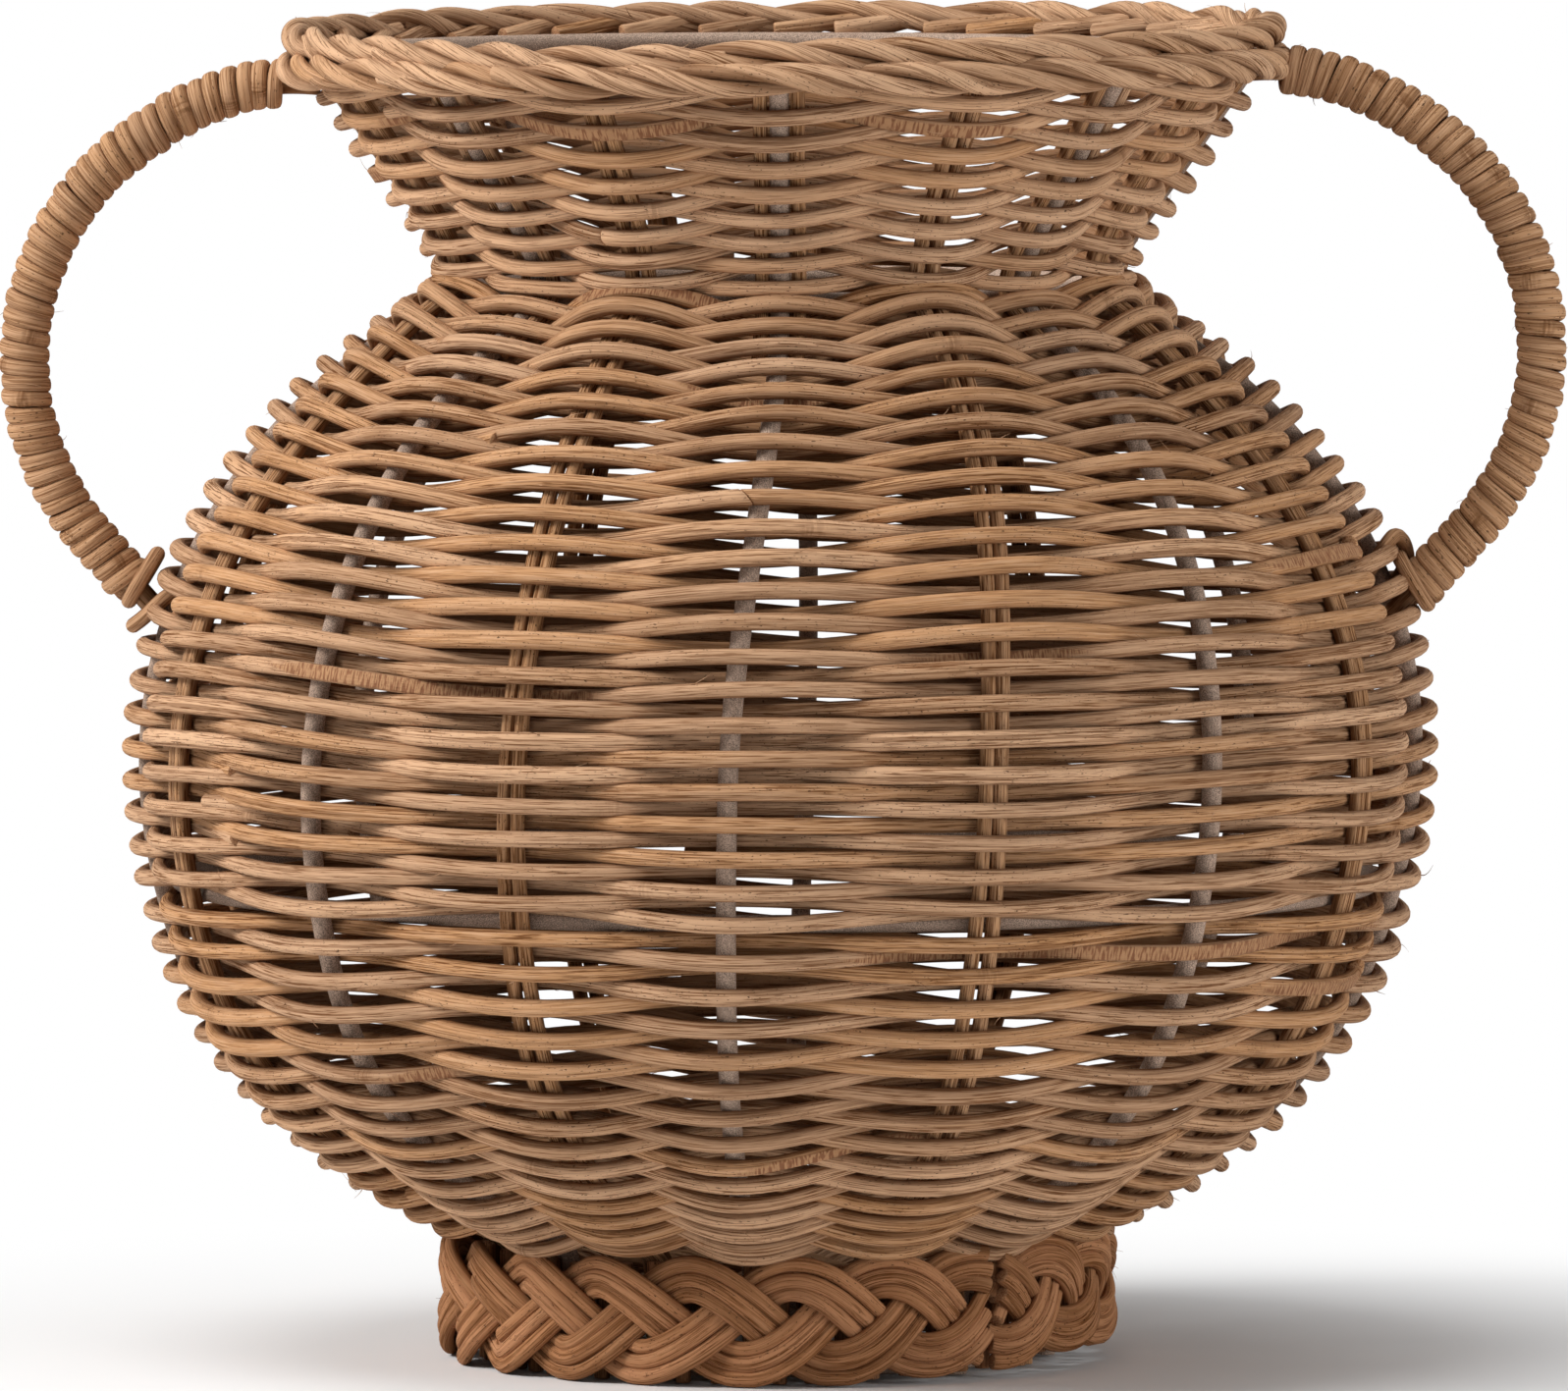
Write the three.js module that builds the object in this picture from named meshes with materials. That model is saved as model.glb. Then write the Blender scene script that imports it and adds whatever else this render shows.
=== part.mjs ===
// Rattan vase: a round-bellied basket on a plaited foot, with a flared neck and two bound ear handles.
// Eight steel rods and eight pairs of rattan stakes stand upright; two weavers chase each other round them.
// Millimetres, +Z up, origin on the floor at the middle of the foot, handles along X.
import * as THREE from "three";

// Outline of the vase, measured to the centreline of its upright rods
const BELLY_RADIUS = 175;
const BELLY_HALF_HEIGHT = 147;
const BELLY_CENTRE_Z = 168;
const RIM_RADIUS = 130.5;
const FLARE_SLOPE = 0.72; // radius gained per height in the neck
const NECK_ROUND = 16.4; // softness of the turn between shoulder and neck
const LEG_RADIUS = 75; // where the rods stand inside the foot
const LEG_ROUND = 5; // softness of the turn between foot and belly
const LEG_BOTTOM_Z = 1;
const WARP_TOP_Z = 363;

// Steel frame
const ROD_COUNT = 8;
const ROD_DIAMETER = 5.5;
const HOOP_DIAMETER = 5;
const BASE_HOOP_Z = 24;
const BELLY_HOOP_Z = 132;
const NECK_DROP = 64; // from the tops of the rods down to the neck hoop

// Rattan: stakes stand in pairs between the rods, weavers run round
const STAKE_DIAMETER = 4.2;
const STAKE_SPACING = 4.6; // between the centrelines of one pair
const WEAVER_DIAMETER = 4; // height of a weaver along the wall
const ROW_PITCH = 4.45;
const WEAVE_BOTTOM_Z = 43;
const CLIMB_STEPS = 3; // gaps between uprights over which a weaver climbs to its next round
const SEAM_INDEX = 6; // upright at which each round begins, so that the climb is at the back

// Canes laid end to end in each weaver, below the belly hoop, between the hoops and in the neck
const LOWER_CANE_COUNT = 2;
const BELLY_CANE_COUNT = 4;
const NECK_CANE_COUNT = 2;

// Rim border: two twisted rolls
const ROLL_DIAMETER = 9.4;
const ROLL_STRANDS = 3;
const ROLL_LAY = 72; // length of one full twist
const ROLL_STEPS = 6; // sections in one twist
const ROLL_VALLEY = 0.72; // depth of the groove between two strands, as a share of the roll's radius

// Foot
const FOOT_CANE_DIAMETER = 4.4;
const FOOT_CANE_COUNT = 56;
const FOOT_WALL_TOP_Z = 31;
const PLAIT_STRANDS = 3;
const PLAIT_WAVES = 7; // times each strand rises and falls in going round
const PLAIT_STEPS = 9; // sections in one wave
const PLAIT_JOINT = THREE.MathUtils.degToRad(-47); // where the ends of the plait butt
const PLAIT_BOTTOM_Z = 1.5;
const PLAIT_TOP_Z = 33.5;
const PLAIT_STRAND_WIDTH = 8;
const PLAIT_STRAND_THICKNESS = 3.4;
const PLAIT_DEPTH = 2.9; // how far a strand sways in and out as it passes over and under

// Woven base that closes the belly
const BASE_THICKNESS = 5;

// Handles: an arc from the rim that runs on straight to the shoulder
const HANDLE_OUT = 7.5; // from the tops of the rods out to the centre of a handle's arc
const HANDLE_DROP = 5.5; // from the tops of the rods down to the top of a handle's arc
const HANDLE_RADIUS = 71;
const HANDLE_ARC_END = -30; // degrees below level where the arc turns into the straight
const HANDLE_CORE_DIAMETER = 5.6;
const HANDLE_STEPS = 22; // sections along a handle's core
const BINDING_DIAMETER = 3.9;
const BINDING_PITCH = 4.4;
const BINDING_STEPS = 5; // sections in one turn
const TIE_DIAMETER = 3.9;
const TIE_STEPS = 12;

const CLEARANCE = 0.35; // between pieces that touch
const LINE_STEPS = 720;
const ROD_SIDES = 5; // odd, so that a rod has a flat on its inner side
const HOOP_SIDES = 4;
const CANE_SIDES = 3;
const UPRIGHT_SAG = 0.6; // how far an upright's straight pieces may cut inside its bends
const TAU = 2 * Math.PI;

const WARP_COUNT = 2 * ROD_COUNT;
const rodRadius = ROD_DIAMETER / 2;
const hoopRadius = HOOP_DIAMETER / 2;
const stakeRadius = STAKE_DIAMETER / 2;

const steel = new THREE.MeshStandardMaterial({ color: 0x8a8177, roughness: 0.6, metalness: 0.4 });
const rattan = new THREE.MeshStandardMaterial({ color: 0xb98d5e, roughness: 0.75, metalness: 0 });
const paleRattan = new THREE.MeshStandardMaterial({ color: 0xb48a60, roughness: 0.8, metalness: 0 });
const darkRattan = new THREE.MeshStandardMaterial({ color: 0x8f643f, roughness: 0.75, metalness: 0 });

const vase = new THREE.Group();

function addPiece(name, geometry, material) {
  const mesh = new THREE.Mesh(geometry, material);
  mesh.name = name;
  vase.add(mesh);
  return mesh;
}

// Larger of two values, with a soft corner where they cross
function softMax(a, b, softness) {
  return (a + b + Math.hypot(a - b, softness)) / 2;
}

// Half outline of the vase along the middle of its wall: x is the radius, y the height
class WarpLine extends THREE.Curve {
  getPoint(t, target = new THREE.Vector2()) {
    const z = THREE.MathUtils.lerp(LEG_BOTTOM_Z, WARP_TOP_Z, t);
    const rise = (z - BELLY_CENTRE_Z) / BELLY_HALF_HEIGHT;
    const belly = BELLY_RADIUS * Math.sqrt(Math.max(0, 1 - rise * rise));
    const flare = RIM_RADIUS - (WARP_TOP_Z - z) * FLARE_SLOPE;
    return target.set(softMax(softMax(belly, flare, NECK_ROUND), LEG_RADIUS, LEG_ROUND), z);
  }
}

const warpLine = new WarpLine();
warpLine.arcLengthDivisions = LINE_STEPS;
const warpLengths = warpLine.getLengths(LINE_STEPS);
const warpLength = warpLengths[LINE_STEPS];

// Length along the warp line from its foot up to a height
function lengthAtHeight(z) {
  const step = ((z - LEG_BOTTOM_Z) / (WARP_TOP_Z - LEG_BOTTOM_Z)) * LINE_STEPS;
  const low = Math.min(Math.floor(step), LINE_STEPS - 1);
  return THREE.MathUtils.lerp(warpLengths[low], warpLengths[low + 1], step - low);
}

// Point and directions of the wall at a length along the warp line and an angle round the vase
function wallAt(length, angle) {
  const u = THREE.MathUtils.clamp(length / warpLength, 0, 1);
  const line = warpLine.getPointAt(u);
  const along = warpLine.getTangentAt(u);
  const outward = new THREE.Vector3(Math.cos(angle), Math.sin(angle), 0);
  const up = new THREE.Vector3(0, 0, 1);
  const mix = (radial, upright) => outward.clone().multiplyScalar(radial).addScaledVector(up, upright);
  return {
    point: mix(line.x, line.y),
    normal: mix(along.y, -along.x),
    meridian: mix(along.x, along.y),
    sideways: new THREE.Vector3(-Math.sin(angle), Math.cos(angle), 0),
  };
}

// Skin over a row of cross-sections, each a list of points, capped at both ends unless it closes on itself
function loft(sections, closed = false) {
  const sides = sections[0].length;
  const positions = sections.flat().flatMap((p) => [p.x, p.y, p.z]);
  const faces = [];
  const spans = closed ? sections.length : sections.length - 1;
  for (let i = 0; i < spans; i++) {
    const here = i * sides;
    const next = ((i + 1) % sections.length) * sides;
    for (let k = 0; k < sides; k++) {
      const l = (k + 1) % sides;
      faces.push(here + k, here + l, next + l, here + k, next + l, next + k);
    }
  }
  if (!closed) {
    const last = (sections.length - 1) * sides;
    for (let k = 1; k < sides - 1; k++) {
      faces.push(0, k + 1, k, last, last + k, last + k + 1);
    }
  }
  const geometry = new THREE.BufferGeometry();
  geometry.setAttribute("position", new THREE.Float32BufferAttribute(positions, 3));
  geometry.setIndex(faces);
  geometry.computeVertexNormals();
  return geometry;
}

// Cross-section of a cane: points round a centre on two axes, at a half width along each
function section(centre, axisA, axisB, halfA, halfB, sides) {
  return Array.from({ length: sides }, (_, k) => {
    const turn = (k / sides) * TAU;
    return centre
      .clone()
      .addScaledVector(axisA, halfA * Math.cos(turn))
      .addScaledVector(axisB, halfB * Math.sin(turn));
  });
}

// Lengths along the warp line for the sections of an upright, one at each hoop and closer where the line bends
function uprightStations() {
  const holds = [baseHoopLength, bellyHoopLength, neckHoopLength, lowerRollLength];
  const stations = [0];
  let heading = warpLine.getTangentAt(0).angle();
  for (let i = 1; i < LINE_STEPS; i++) {
    const length = (i / LINE_STEPS) * warpLength;
    const next = warpLine.getTangentAt((i + 1) / LINE_STEPS).angle();
    const last = stations[stations.length - 1];
    const turned = Math.abs(Math.atan2(Math.sin(next - heading), Math.cos(next - heading)));
    const hold = holds.find((h) => h >= length && h < ((i + 1) / LINE_STEPS) * warpLength);
    if (hold || ((length - last) * turned) / 8 > UPRIGHT_SAG) {
      stations.push(hold ?? length);
      heading = next;
    }
  }
  return [...stations, warpLength];
}

// Upright rod or cane that follows the wall, shifted sideways from its place
function upright(angle, shift, radius, sides) {
  const sections = uprightStations().map((length) => {
    const wall = wallAt(length, angle);
    wall.point.addScaledVector(wall.sideways, shift);
    return section(wall.point, wall.normal, wall.sideways, radius, radius, sides);
  });
  return loft(sections);
}

function warpAngle(index) {
  return (index / WARP_COUNT) * TAU;
}

// Steel rods at the even places and stake pairs at the odd ones
function addUprights() {
  for (let i = 0; i < ROD_COUNT; i++) {
    const rod = upright(warpAngle(2 * i), 0, rodRadius, ROD_SIDES);
    addPiece(`frame_rod_${i + 1}`, rod, steel);
    for (const [side, shift] of [["a", -STAKE_SPACING / 2], ["b", STAKE_SPACING / 2]]) {
      const stake = upright(warpAngle(2 * i + 1), shift, stakeRadius, CANE_SIDES);
      addPiece(`stake_${i + 1}${side}`, stake, rattan);
    }
  }
}

// Steel hoop welded to the inner side of the rods, with its section turned to face them
const rodBack = rodRadius * Math.cos(Math.PI / ROD_SIDES); // flat of a rod's section on its inner side
const hoopInset = rodBack + hoopRadius + CLEARANCE;

function addHoop(name, length) {
  const steps = 2 * WARP_COUNT;
  const sections = Array.from({ length: steps }, (_, i) => {
    const wall = wallAt(length, (i / steps) * TAU);
    const centre = wall.point.addScaledVector(wall.normal, -hoopInset);
    return section(centre, wall.normal, wall.meridian.negate(), hoopRadius, hoopRadius, HOOP_SIDES);
  });
  addPiece(name, loft(sections, true), steel);
}

const rollRadius = ROLL_DIAMETER / 2;
const rollSeat = rodRadius + rollRadius + CLEARANCE; // from the warp line out to the lower roll

// The upper roll lies on the tops of the uprights, the lower one outside them, as high as the upper one lets it
const upperRollRise = rollRadius + CLEARANCE;
const rollDrop = Math.sqrt(Math.max(0, (ROLL_DIAMETER + CLEARANCE) ** 2 - rollSeat ** 2));
const lowerRollLength = warpLength + Math.min(0, upperRollRise - rollDrop);
const weaverHalf = WEAVER_DIAMETER / 2;
const hoopSlot = hoopRadius + weaverHalf + 4 * CLEARANCE; // from a hoop to the row beside it

// Stretches of woven wall between the hoops, as lengths along the warp line
const baseHoopLength = lengthAtHeight(BASE_HOOP_Z);
const bellyHoopLength = lengthAtHeight(BELLY_HOOP_Z);
const neckHoopLength = lengthAtHeight(WARP_TOP_Z - NECK_DROP);
const weaveBottomLength = lengthAtHeight(WEAVE_BOTTOM_Z);
const neckTopLength = lowerRollLength - rollRadius - weaverHalf - CLEARANCE;
const stretches = [
  { name: "lower", from: weaveBottomLength, to: bellyHoopLength - hoopSlot, canes: LOWER_CANE_COUNT },
  { name: "belly", from: bellyHoopLength + hoopSlot, to: neckHoopLength - hoopSlot, canes: BELLY_CANE_COUNT },
  { name: "neck", from: neckHoopLength + hoopSlot, to: neckTopLength, canes: NECK_CANE_COUNT },
];

// A weaver's section is a triangle with its point outward, so it lies closer outside an upright than inside
const weaverReach = weaverHalf / Math.sin(TAU / CANE_SIDES);
const weaverBack = weaverReach * -Math.cos(TAU / CANE_SIDES);
const liftOutside = rodRadius + weaverBack + 2 * CLEARANCE + UPRIGHT_SAG;
const liftInside = rodRadius + weaverReach + CLEARANCE + UPRIGHT_SAG;

function roundsIn(stretch) {
  return Math.floor((stretch.to - stretch.from + ROW_PITCH) / (2 * ROW_PITCH));
}

// One cane of a weaver: it passes outside one upright and inside the next, and climbs two rows in each round.
// It ends halfway between two uprights, and in the last round of a stretch before the climb.
function weaverCane(stretch, strand, firstRound, lastRound) {
  const rounds = roundsIn(stretch);
  const pitch = (stretch.to - stretch.from) / (2 * rounds - 1);
  const steps = (lastRound - firstRound) * WARP_COUNT - (lastRound === rounds ? CLIMB_STEPS : 0);
  const sections = Array.from({ length: steps + 1 }, (_, i) => {
    const round = firstRound + Math.floor(i / WARP_COUNT);
    const place = i % WARP_COUNT;
    const climb = Math.max(0, place - WARP_COUNT + CLIMB_STEPS) / CLIMB_STEPS;
    const row = 2 * (round + climb) + strand;
    const wall = wallAt(stretch.from + row * pitch, warpAngle(place + SEAM_INDEX));
    const outside = (place + strand) % 2 === 0;
    wall.point.addScaledVector(wall.normal, outside ? liftOutside : -liftInside);
    return section(wall.point, wall.normal, wall.meridian.negate(), weaverReach, weaverReach, CANE_SIDES);
  });
  sections[steps].forEach((point, k) => point.lerp(sections[steps - 1][k], 0.5));
  return loft(sections);
}

function addWeavers() {
  for (const stretch of stretches) {
    const rounds = roundsIn(stretch);
    for (let n = 0; n < stretch.canes; n++) {
      const first = Math.round((rounds * n) / stretch.canes);
      const last = Math.round((rounds * (n + 1)) / stretch.canes);
      ["a", "b"].forEach((letter, strand) => {
        const cane = weaverCane(stretch, strand, first, last);
        addPiece(`weaver_${letter}_${stretch.name}_${n + 1}`, cane, rattan);
      });
    }
  }
}

// Rim roll: a ring whose lobed section turns as it goes round. At the first rod a lobe points at its seat.
function rimRoll(centre, toSeat) {
  const radius = centre.x;
  const seatTurn = Math.atan2(toSeat.z, toSeat.x);
  const twists = Math.round((TAU * radius) / ROLL_LAY);
  const steps = twists * ROLL_STEPS;
  const points = 2 * ROLL_STRANDS;
  const sections = Array.from({ length: steps }, (_, i) => {
    const angle = (i / steps) * TAU;
    const outward = new THREE.Vector3(Math.cos(angle), Math.sin(angle), 0);
    const middle = outward.clone().multiplyScalar(radius).setZ(centre.z);
    return Array.from({ length: points }, (_, k) => {
      const turn = seatTurn + (k / points) * TAU - (i / steps) * twists * TAU;
      const reach = rollRadius * (k % 2 ? ROLL_VALLEY : 1);
      return middle
        .clone()
        .addScaledVector(outward, reach * Math.cos(turn))
        .add(new THREE.Vector3(0, 0, reach * Math.sin(turn)));
    });
  });
  return loft(sections.map((p) => p.reverse()), true);
}

function addRim() {
  addHoop("rim_hoop", lowerRollLength);
  const side = wallAt(lowerRollLength, 0);
  const lower = side.point.addScaledVector(side.normal, rollSeat);
  addPiece("border_roll_lower", rimRoll(lower, side.normal.negate()), rattan);
  const end = wallAt(warpLength, 0);
  const upper = end.point.addScaledVector(end.meridian, upperRollRise);
  addPiece("border_roll_upper", rimRoll(upper, end.meridian.negate()), rattan);
}

// Foot: upright canes packed side by side in a ring, with a three-strand plait round them
const footWallInner = wallAt(lengthAtHeight(FOOT_WALL_TOP_Z), 0).point.x + rodRadius + CLEARANCE;
const footWallOuter = footWallInner + FOOT_CANE_DIAMETER;

function footWall() {
  const outline = new THREE.Shape();
  const valley = footWallOuter - FOOT_CANE_DIAMETER / 4;
  for (let i = 0; i < 2 * FOOT_CANE_COUNT; i++) {
    const angle = (i / (2 * FOOT_CANE_COUNT)) * TAU;
    const reach = i % 2 ? valley : footWallOuter;
    outline[i ? "lineTo" : "moveTo"](reach * Math.cos(angle), reach * Math.sin(angle));
  }
  outline.closePath();
  const bore = new THREE.Path();
  bore.absarc(0, 0, footWallInner, 0, TAU);
  outline.holes.push(bore);
  return new THREE.ExtrudeGeometry(outline, {
    depth: FOOT_WALL_TOP_Z,
    bevelEnabled: false,
    curveSegments: FOOT_CANE_COUNT / 2,
  });
}

const plaitRadius = footWallOuter + CLEARANCE + PLAIT_DEPTH + PLAIT_STRAND_THICKNESS / 2;

// One strand of the plait, from its cut end once round to the butt joint, with every section in a radial plane
function plaitStrand(index) {
  const steps = PLAIT_WAVES * PLAIT_STEPS;
  const middle = (PLAIT_TOP_Z + PLAIT_BOTTOM_Z) / 2;
  const sweep = TAU - (2 * CLEARANCE) / plaitRadius;
  const swing = (PLAIT_TOP_Z - PLAIT_BOTTOM_Z - PLAIT_STRAND_WIDTH) / 2;
  const down = new THREE.Vector3(0, 0, -1);
  const sections = Array.from({ length: steps + 1 }, (_, i) => {
    const phase = (i / PLAIT_STEPS) * TAU + (index / PLAIT_STRANDS) * TAU;
    const angle = PLAIT_JOINT + (i / steps) * sweep;
    const slope = (swing * Math.cos(phase) * PLAIT_WAVES) / plaitRadius;
    const outward = new THREE.Vector3(Math.cos(angle), Math.sin(angle), 0);
    const centre = outward.clone().multiplyScalar(plaitRadius - PLAIT_DEPTH * Math.sin(2 * phase));
    centre.z = middle + swing * Math.sin(phase);
    const halfWidth = (PLAIT_STRAND_WIDTH / 2) * Math.hypot(1, slope);
    return section(centre, outward, down, PLAIT_STRAND_THICKNESS / 2, halfWidth, 4);
  });
  return loft(sections);
}

function addFoot() {
  addPiece("foot_wall", footWall(), darkRattan);
  for (let i = 0; i < PLAIT_STRANDS; i++) {
    addPiece(`foot_plait_strand_${i + 1}`, plaitStrand(i), darkRattan);
  }
}

// Base: a woven mat that lies on the base hoop inside the rods
function addBase() {
  const radius = LEG_RADIUS - rodRadius - 2 * CLEARANCE;
  const mat = new THREE.CylinderGeometry(radius, radius, BASE_THICKNESS, 2 * WARP_COUNT);
  mat.rotateX(Math.PI / 2);
  const seat = BASE_HOOP_Z + hoopRadius + CLEARANCE;
  addPiece("base_mat", mat, paleRattan).position.z = seat + BASE_THICKNESS / 2;
}

// Handles
const coreRadius = HANDLE_CORE_DIAMETER / 2;
const bindingRadius = BINDING_DIAMETER / 2;
const tieRadius = TIE_DIAMETER / 2;
const weaveOutside = liftOutside + weaverReach; // from the warp line to the outermost edge of the weave

// Height of a point in the plane of the handles above the outside of the weave, and the wall there
function aboveWeave(point) {
  const wall = wallAt(lengthAtHeight(point.y), 0);
  const height = new THREE.Vector3(point.x, 0, point.y).sub(wall.point).dot(wall.normal) - weaveOutside;
  return { height, wall };
}

// First point along a heading that comes down to a height above the weave
function landing(from, heading, height) {
  const step = 0.05;
  const point = from.clone();
  while (aboveWeave(point).height > height) point.addScaledVector(heading, step);
  return point;
}

// Centreline of a handle in its own plane: x is out from the axis, y is up
const handleCentre = new THREE.Vector2(RIM_RADIUS + HANDLE_OUT, WARP_TOP_Z - HANDLE_DROP - HANDLE_RADIUS);

function handleLine() {
  const side = wallAt(lowerRollLength, 0);
  const rimEdge = side.point.addScaledVector(side.normal, rollSeat).x + rollRadius + CLEARANCE;
  const start = Math.acos((rimEdge - handleCentre.x) / HANDLE_RADIUS);
  const end = THREE.MathUtils.degToRad(HANDLE_ARC_END);
  const arc = new THREE.EllipseCurve(
    handleCentre.x, handleCentre.y, HANDLE_RADIUS, HANDLE_RADIUS, start, end, true,
  );
  const heading = new THREE.Vector2(Math.sin(end), -Math.cos(end));
  const line = new THREE.LineCurve(arc.getPoint(1), landing(arc.getPoint(1), heading, coreRadius));
  const path = new THREE.CurvePath();
  path.add(arc);
  path.add(line);
  path.arcLengthDivisions = LINE_STEPS;
  return path;
}

function handleFrame(path, along) {
  const u = along / path.getLength();
  const place = path.getPointAt(u);
  const ahead = path.getTangentAt(u);
  return {
    point: new THREE.Vector3(place.x, 0, place.y),
    ahead: new THREE.Vector3(ahead.x, 0, ahead.y),
    inPlane: new THREE.Vector3(ahead.y, 0, -ahead.x),
    acrossPlane: new THREE.Vector3(0, 1, 0),
  };
}

function handleCore(path) {
  const sections = Array.from({ length: HANDLE_STEPS + 1 }, (_, i) => {
    const frame = handleFrame(path, (i / HANDLE_STEPS) * path.getLength());
    return section(frame.point, frame.inPlane, frame.acrossPlane, coreRadius, coreRadius, ROD_SIDES);
  });
  return loft(sections);
}

// Cane wound round the handle's core, from the rim down to the tie
function handleBinding(path) {
  const ends = bindingRadius + CLEARANCE;
  const tieReach = 2 * tieRadius + coreRadius + BINDING_DIAMETER + ends;
  const turns = Math.floor((path.getLength() - ends - tieReach) / BINDING_PITCH);
  const steps = turns * BINDING_STEPS;
  const reach = bindingRadius / Math.sin(TAU / CANE_SIDES);
  const windingRadius = (coreRadius + CLEARANCE + reach / 2) / Math.cos(Math.PI / BINDING_STEPS);
  const halfHeight = (BINDING_PITCH / 2 - 1.5 * CLEARANCE) / Math.sin(TAU / CANE_SIDES);
  const sections = Array.from({ length: steps + 1 }, (_, i) => {
    const frame = handleFrame(path, ends + (i / BINDING_STEPS) * BINDING_PITCH);
    const turn = (i / BINDING_STEPS) * TAU;
    const outward = frame.inPlane
      .clone()
      .multiplyScalar(Math.cos(turn))
      .addScaledVector(frame.acrossPlane, Math.sin(turn));
    const centre = frame.point.addScaledVector(outward, windingRadius);
    return section(centre, outward, frame.ahead.negate(), reach, halfHeight, CANE_SIDES);
  });
  return loft(sections);
}

// Least distance between the points of a winding that lie about a turn apart
function leastSelfGap(geometry, sides, stepsPerTurn) {
  const place = geometry.getAttribute("position");
  const from = new THREE.Vector3();
  const to = new THREE.Vector3();
  let least = Infinity;
  for (let i = 0; i < place.count; i++) {
    from.fromBufferAttribute(place, i);
    const first = (Math.floor(i / sides) + Math.ceil(stepsPerTurn / 2)) * sides;
    const last = Math.min(place.count, first + (stepsPerTurn + 1) * sides);
    for (let j = first; j < last; j++) {
      least = Math.min(least, from.distanceTo(to.fromBufferAttribute(place, j)));
    }
  }
  return least;
}

// Cane ring that lies on the weave round the foot of a handle
function handleTie(path) {
  const foot = path.getPointAt(1);
  const heading = path.getTangentAt(1);
  const above = foot.clone().addScaledVector(heading, -HANDLE_CORE_DIAMETER);
  const centre = landing(above, heading, tieRadius + CLEARANCE);
  const { wall } = aboveWeave(centre);
  const lean = Math.abs(heading.x * wall.normal.x + heading.y * wall.normal.z);
  const narrow = coreRadius + CLEARANCE + tieRadius;
  const middle = new THREE.Vector3(centre.x, 0, centre.y);
  const sections = Array.from({ length: TIE_STEPS }, (_, i) => {
    const turn = (i / TIE_STEPS) * TAU;
    const along = wall.meridian.clone().multiplyScalar(Math.cos(turn) / lean);
    const outward = along.addScaledVector(wall.sideways, Math.sin(turn));
    const point = middle.clone().addScaledVector(outward, narrow / Math.cos(Math.PI / TIE_STEPS));
    return section(point, outward.clone().normalize(), wall.normal, tieRadius, tieRadius, 4);
  });
  return loft(sections, true);
}

function addHandles() {
  const path = handleLine();
  for (const [name, turn] of [["right", 0], ["left", Math.PI]]) {
    const binding = handleBinding(path);
    const gap = leastSelfGap(binding, CANE_SIDES, BINDING_STEPS);
    console.log(`handle_binding_${name}: least gap between turns ${gap.toFixed(2)} mm`);
    addPiece(`handle_core_${name}`, handleCore(path), steel).rotation.z = turn;
    addPiece(`handle_binding_${name}`, binding, paleRattan).rotation.z = turn;
    addPiece(`handle_tie_${name}`, handleTie(path), paleRattan).rotation.z = turn;
  }
}

addUprights();
addHoop("foot_hoop", lengthAtHeight(LEG_BOTTOM_Z + hoopRadius));
addHoop("base_hoop", baseHoopLength);
addHoop("belly_hoop", bellyHoopLength);
addHoop("neck_hoop", neckHoopLength);
addWeavers();
addRim();
addFoot();
addBase();
addHandles();

export default vase;
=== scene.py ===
"""Rattan vase: round canes woven on a steel rod frame, with a twisted rim, a plaited foot and bound handles.

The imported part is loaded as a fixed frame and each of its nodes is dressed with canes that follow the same
outline. Metres, +Z up, origin on the floor at the middle of the foot, handles along X.
"""

import math

import bpy
import numpy as np
from bpy.props import FloatProperty, FloatVectorProperty, IntProperty, PointerProperty
from bpy.types import Operator, Panel, PropertyGroup
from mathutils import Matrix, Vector


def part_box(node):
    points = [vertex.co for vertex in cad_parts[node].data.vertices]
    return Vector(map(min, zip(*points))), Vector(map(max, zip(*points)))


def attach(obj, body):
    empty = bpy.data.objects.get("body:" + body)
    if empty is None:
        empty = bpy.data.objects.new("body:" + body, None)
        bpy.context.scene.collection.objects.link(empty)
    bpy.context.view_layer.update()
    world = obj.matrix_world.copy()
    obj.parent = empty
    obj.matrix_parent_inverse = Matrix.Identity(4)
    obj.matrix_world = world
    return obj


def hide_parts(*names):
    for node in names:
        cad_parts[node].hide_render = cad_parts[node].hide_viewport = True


bl_info = {
    "name": "Rattan vase",
    "version": (1, 0, 0),
    "blender": (4, 5, 0),
    "location": "3D View > Sidebar > Vase",
    "description": "Dresses a round-bellied vase frame with woven rattan canes",
    "category": "Add Mesh",
}

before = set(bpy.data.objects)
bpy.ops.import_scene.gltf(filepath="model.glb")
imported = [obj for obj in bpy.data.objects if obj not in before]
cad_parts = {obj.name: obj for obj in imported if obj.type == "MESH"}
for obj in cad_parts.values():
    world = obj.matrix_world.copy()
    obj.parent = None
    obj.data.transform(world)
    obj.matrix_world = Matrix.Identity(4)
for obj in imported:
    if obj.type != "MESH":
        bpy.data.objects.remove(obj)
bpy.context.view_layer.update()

MM = 0.001
TAU = 2 * math.pi
BODY = "root"
LINE_STEPS = 1440  # samples of the outline
UPRIGHTS = 16  # eight rods at the even places and eight pairs of stakes at the odd ones
CLIMB_GAPS = 3  # gaps between uprights over which a weaver climbs to its next round
SEAM_PLACE = 6  # upright at which each round begins, at the back
WEAVER_LENGTHS = {"lower": 2, "belly": 4, "neck": 2}
LOWER_ROLL, UPPER_ROLL = "border_roll_lower", "border_roll_upper"  # nodes of the rim's border
SEED = 7453


def length(name, millimetres, description):
    """A length property whose default is given in millimetres."""
    return FloatProperty(
        name=name, description=description, default=millimetres * MM, unit="LENGTH", precision=4
    )


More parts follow.
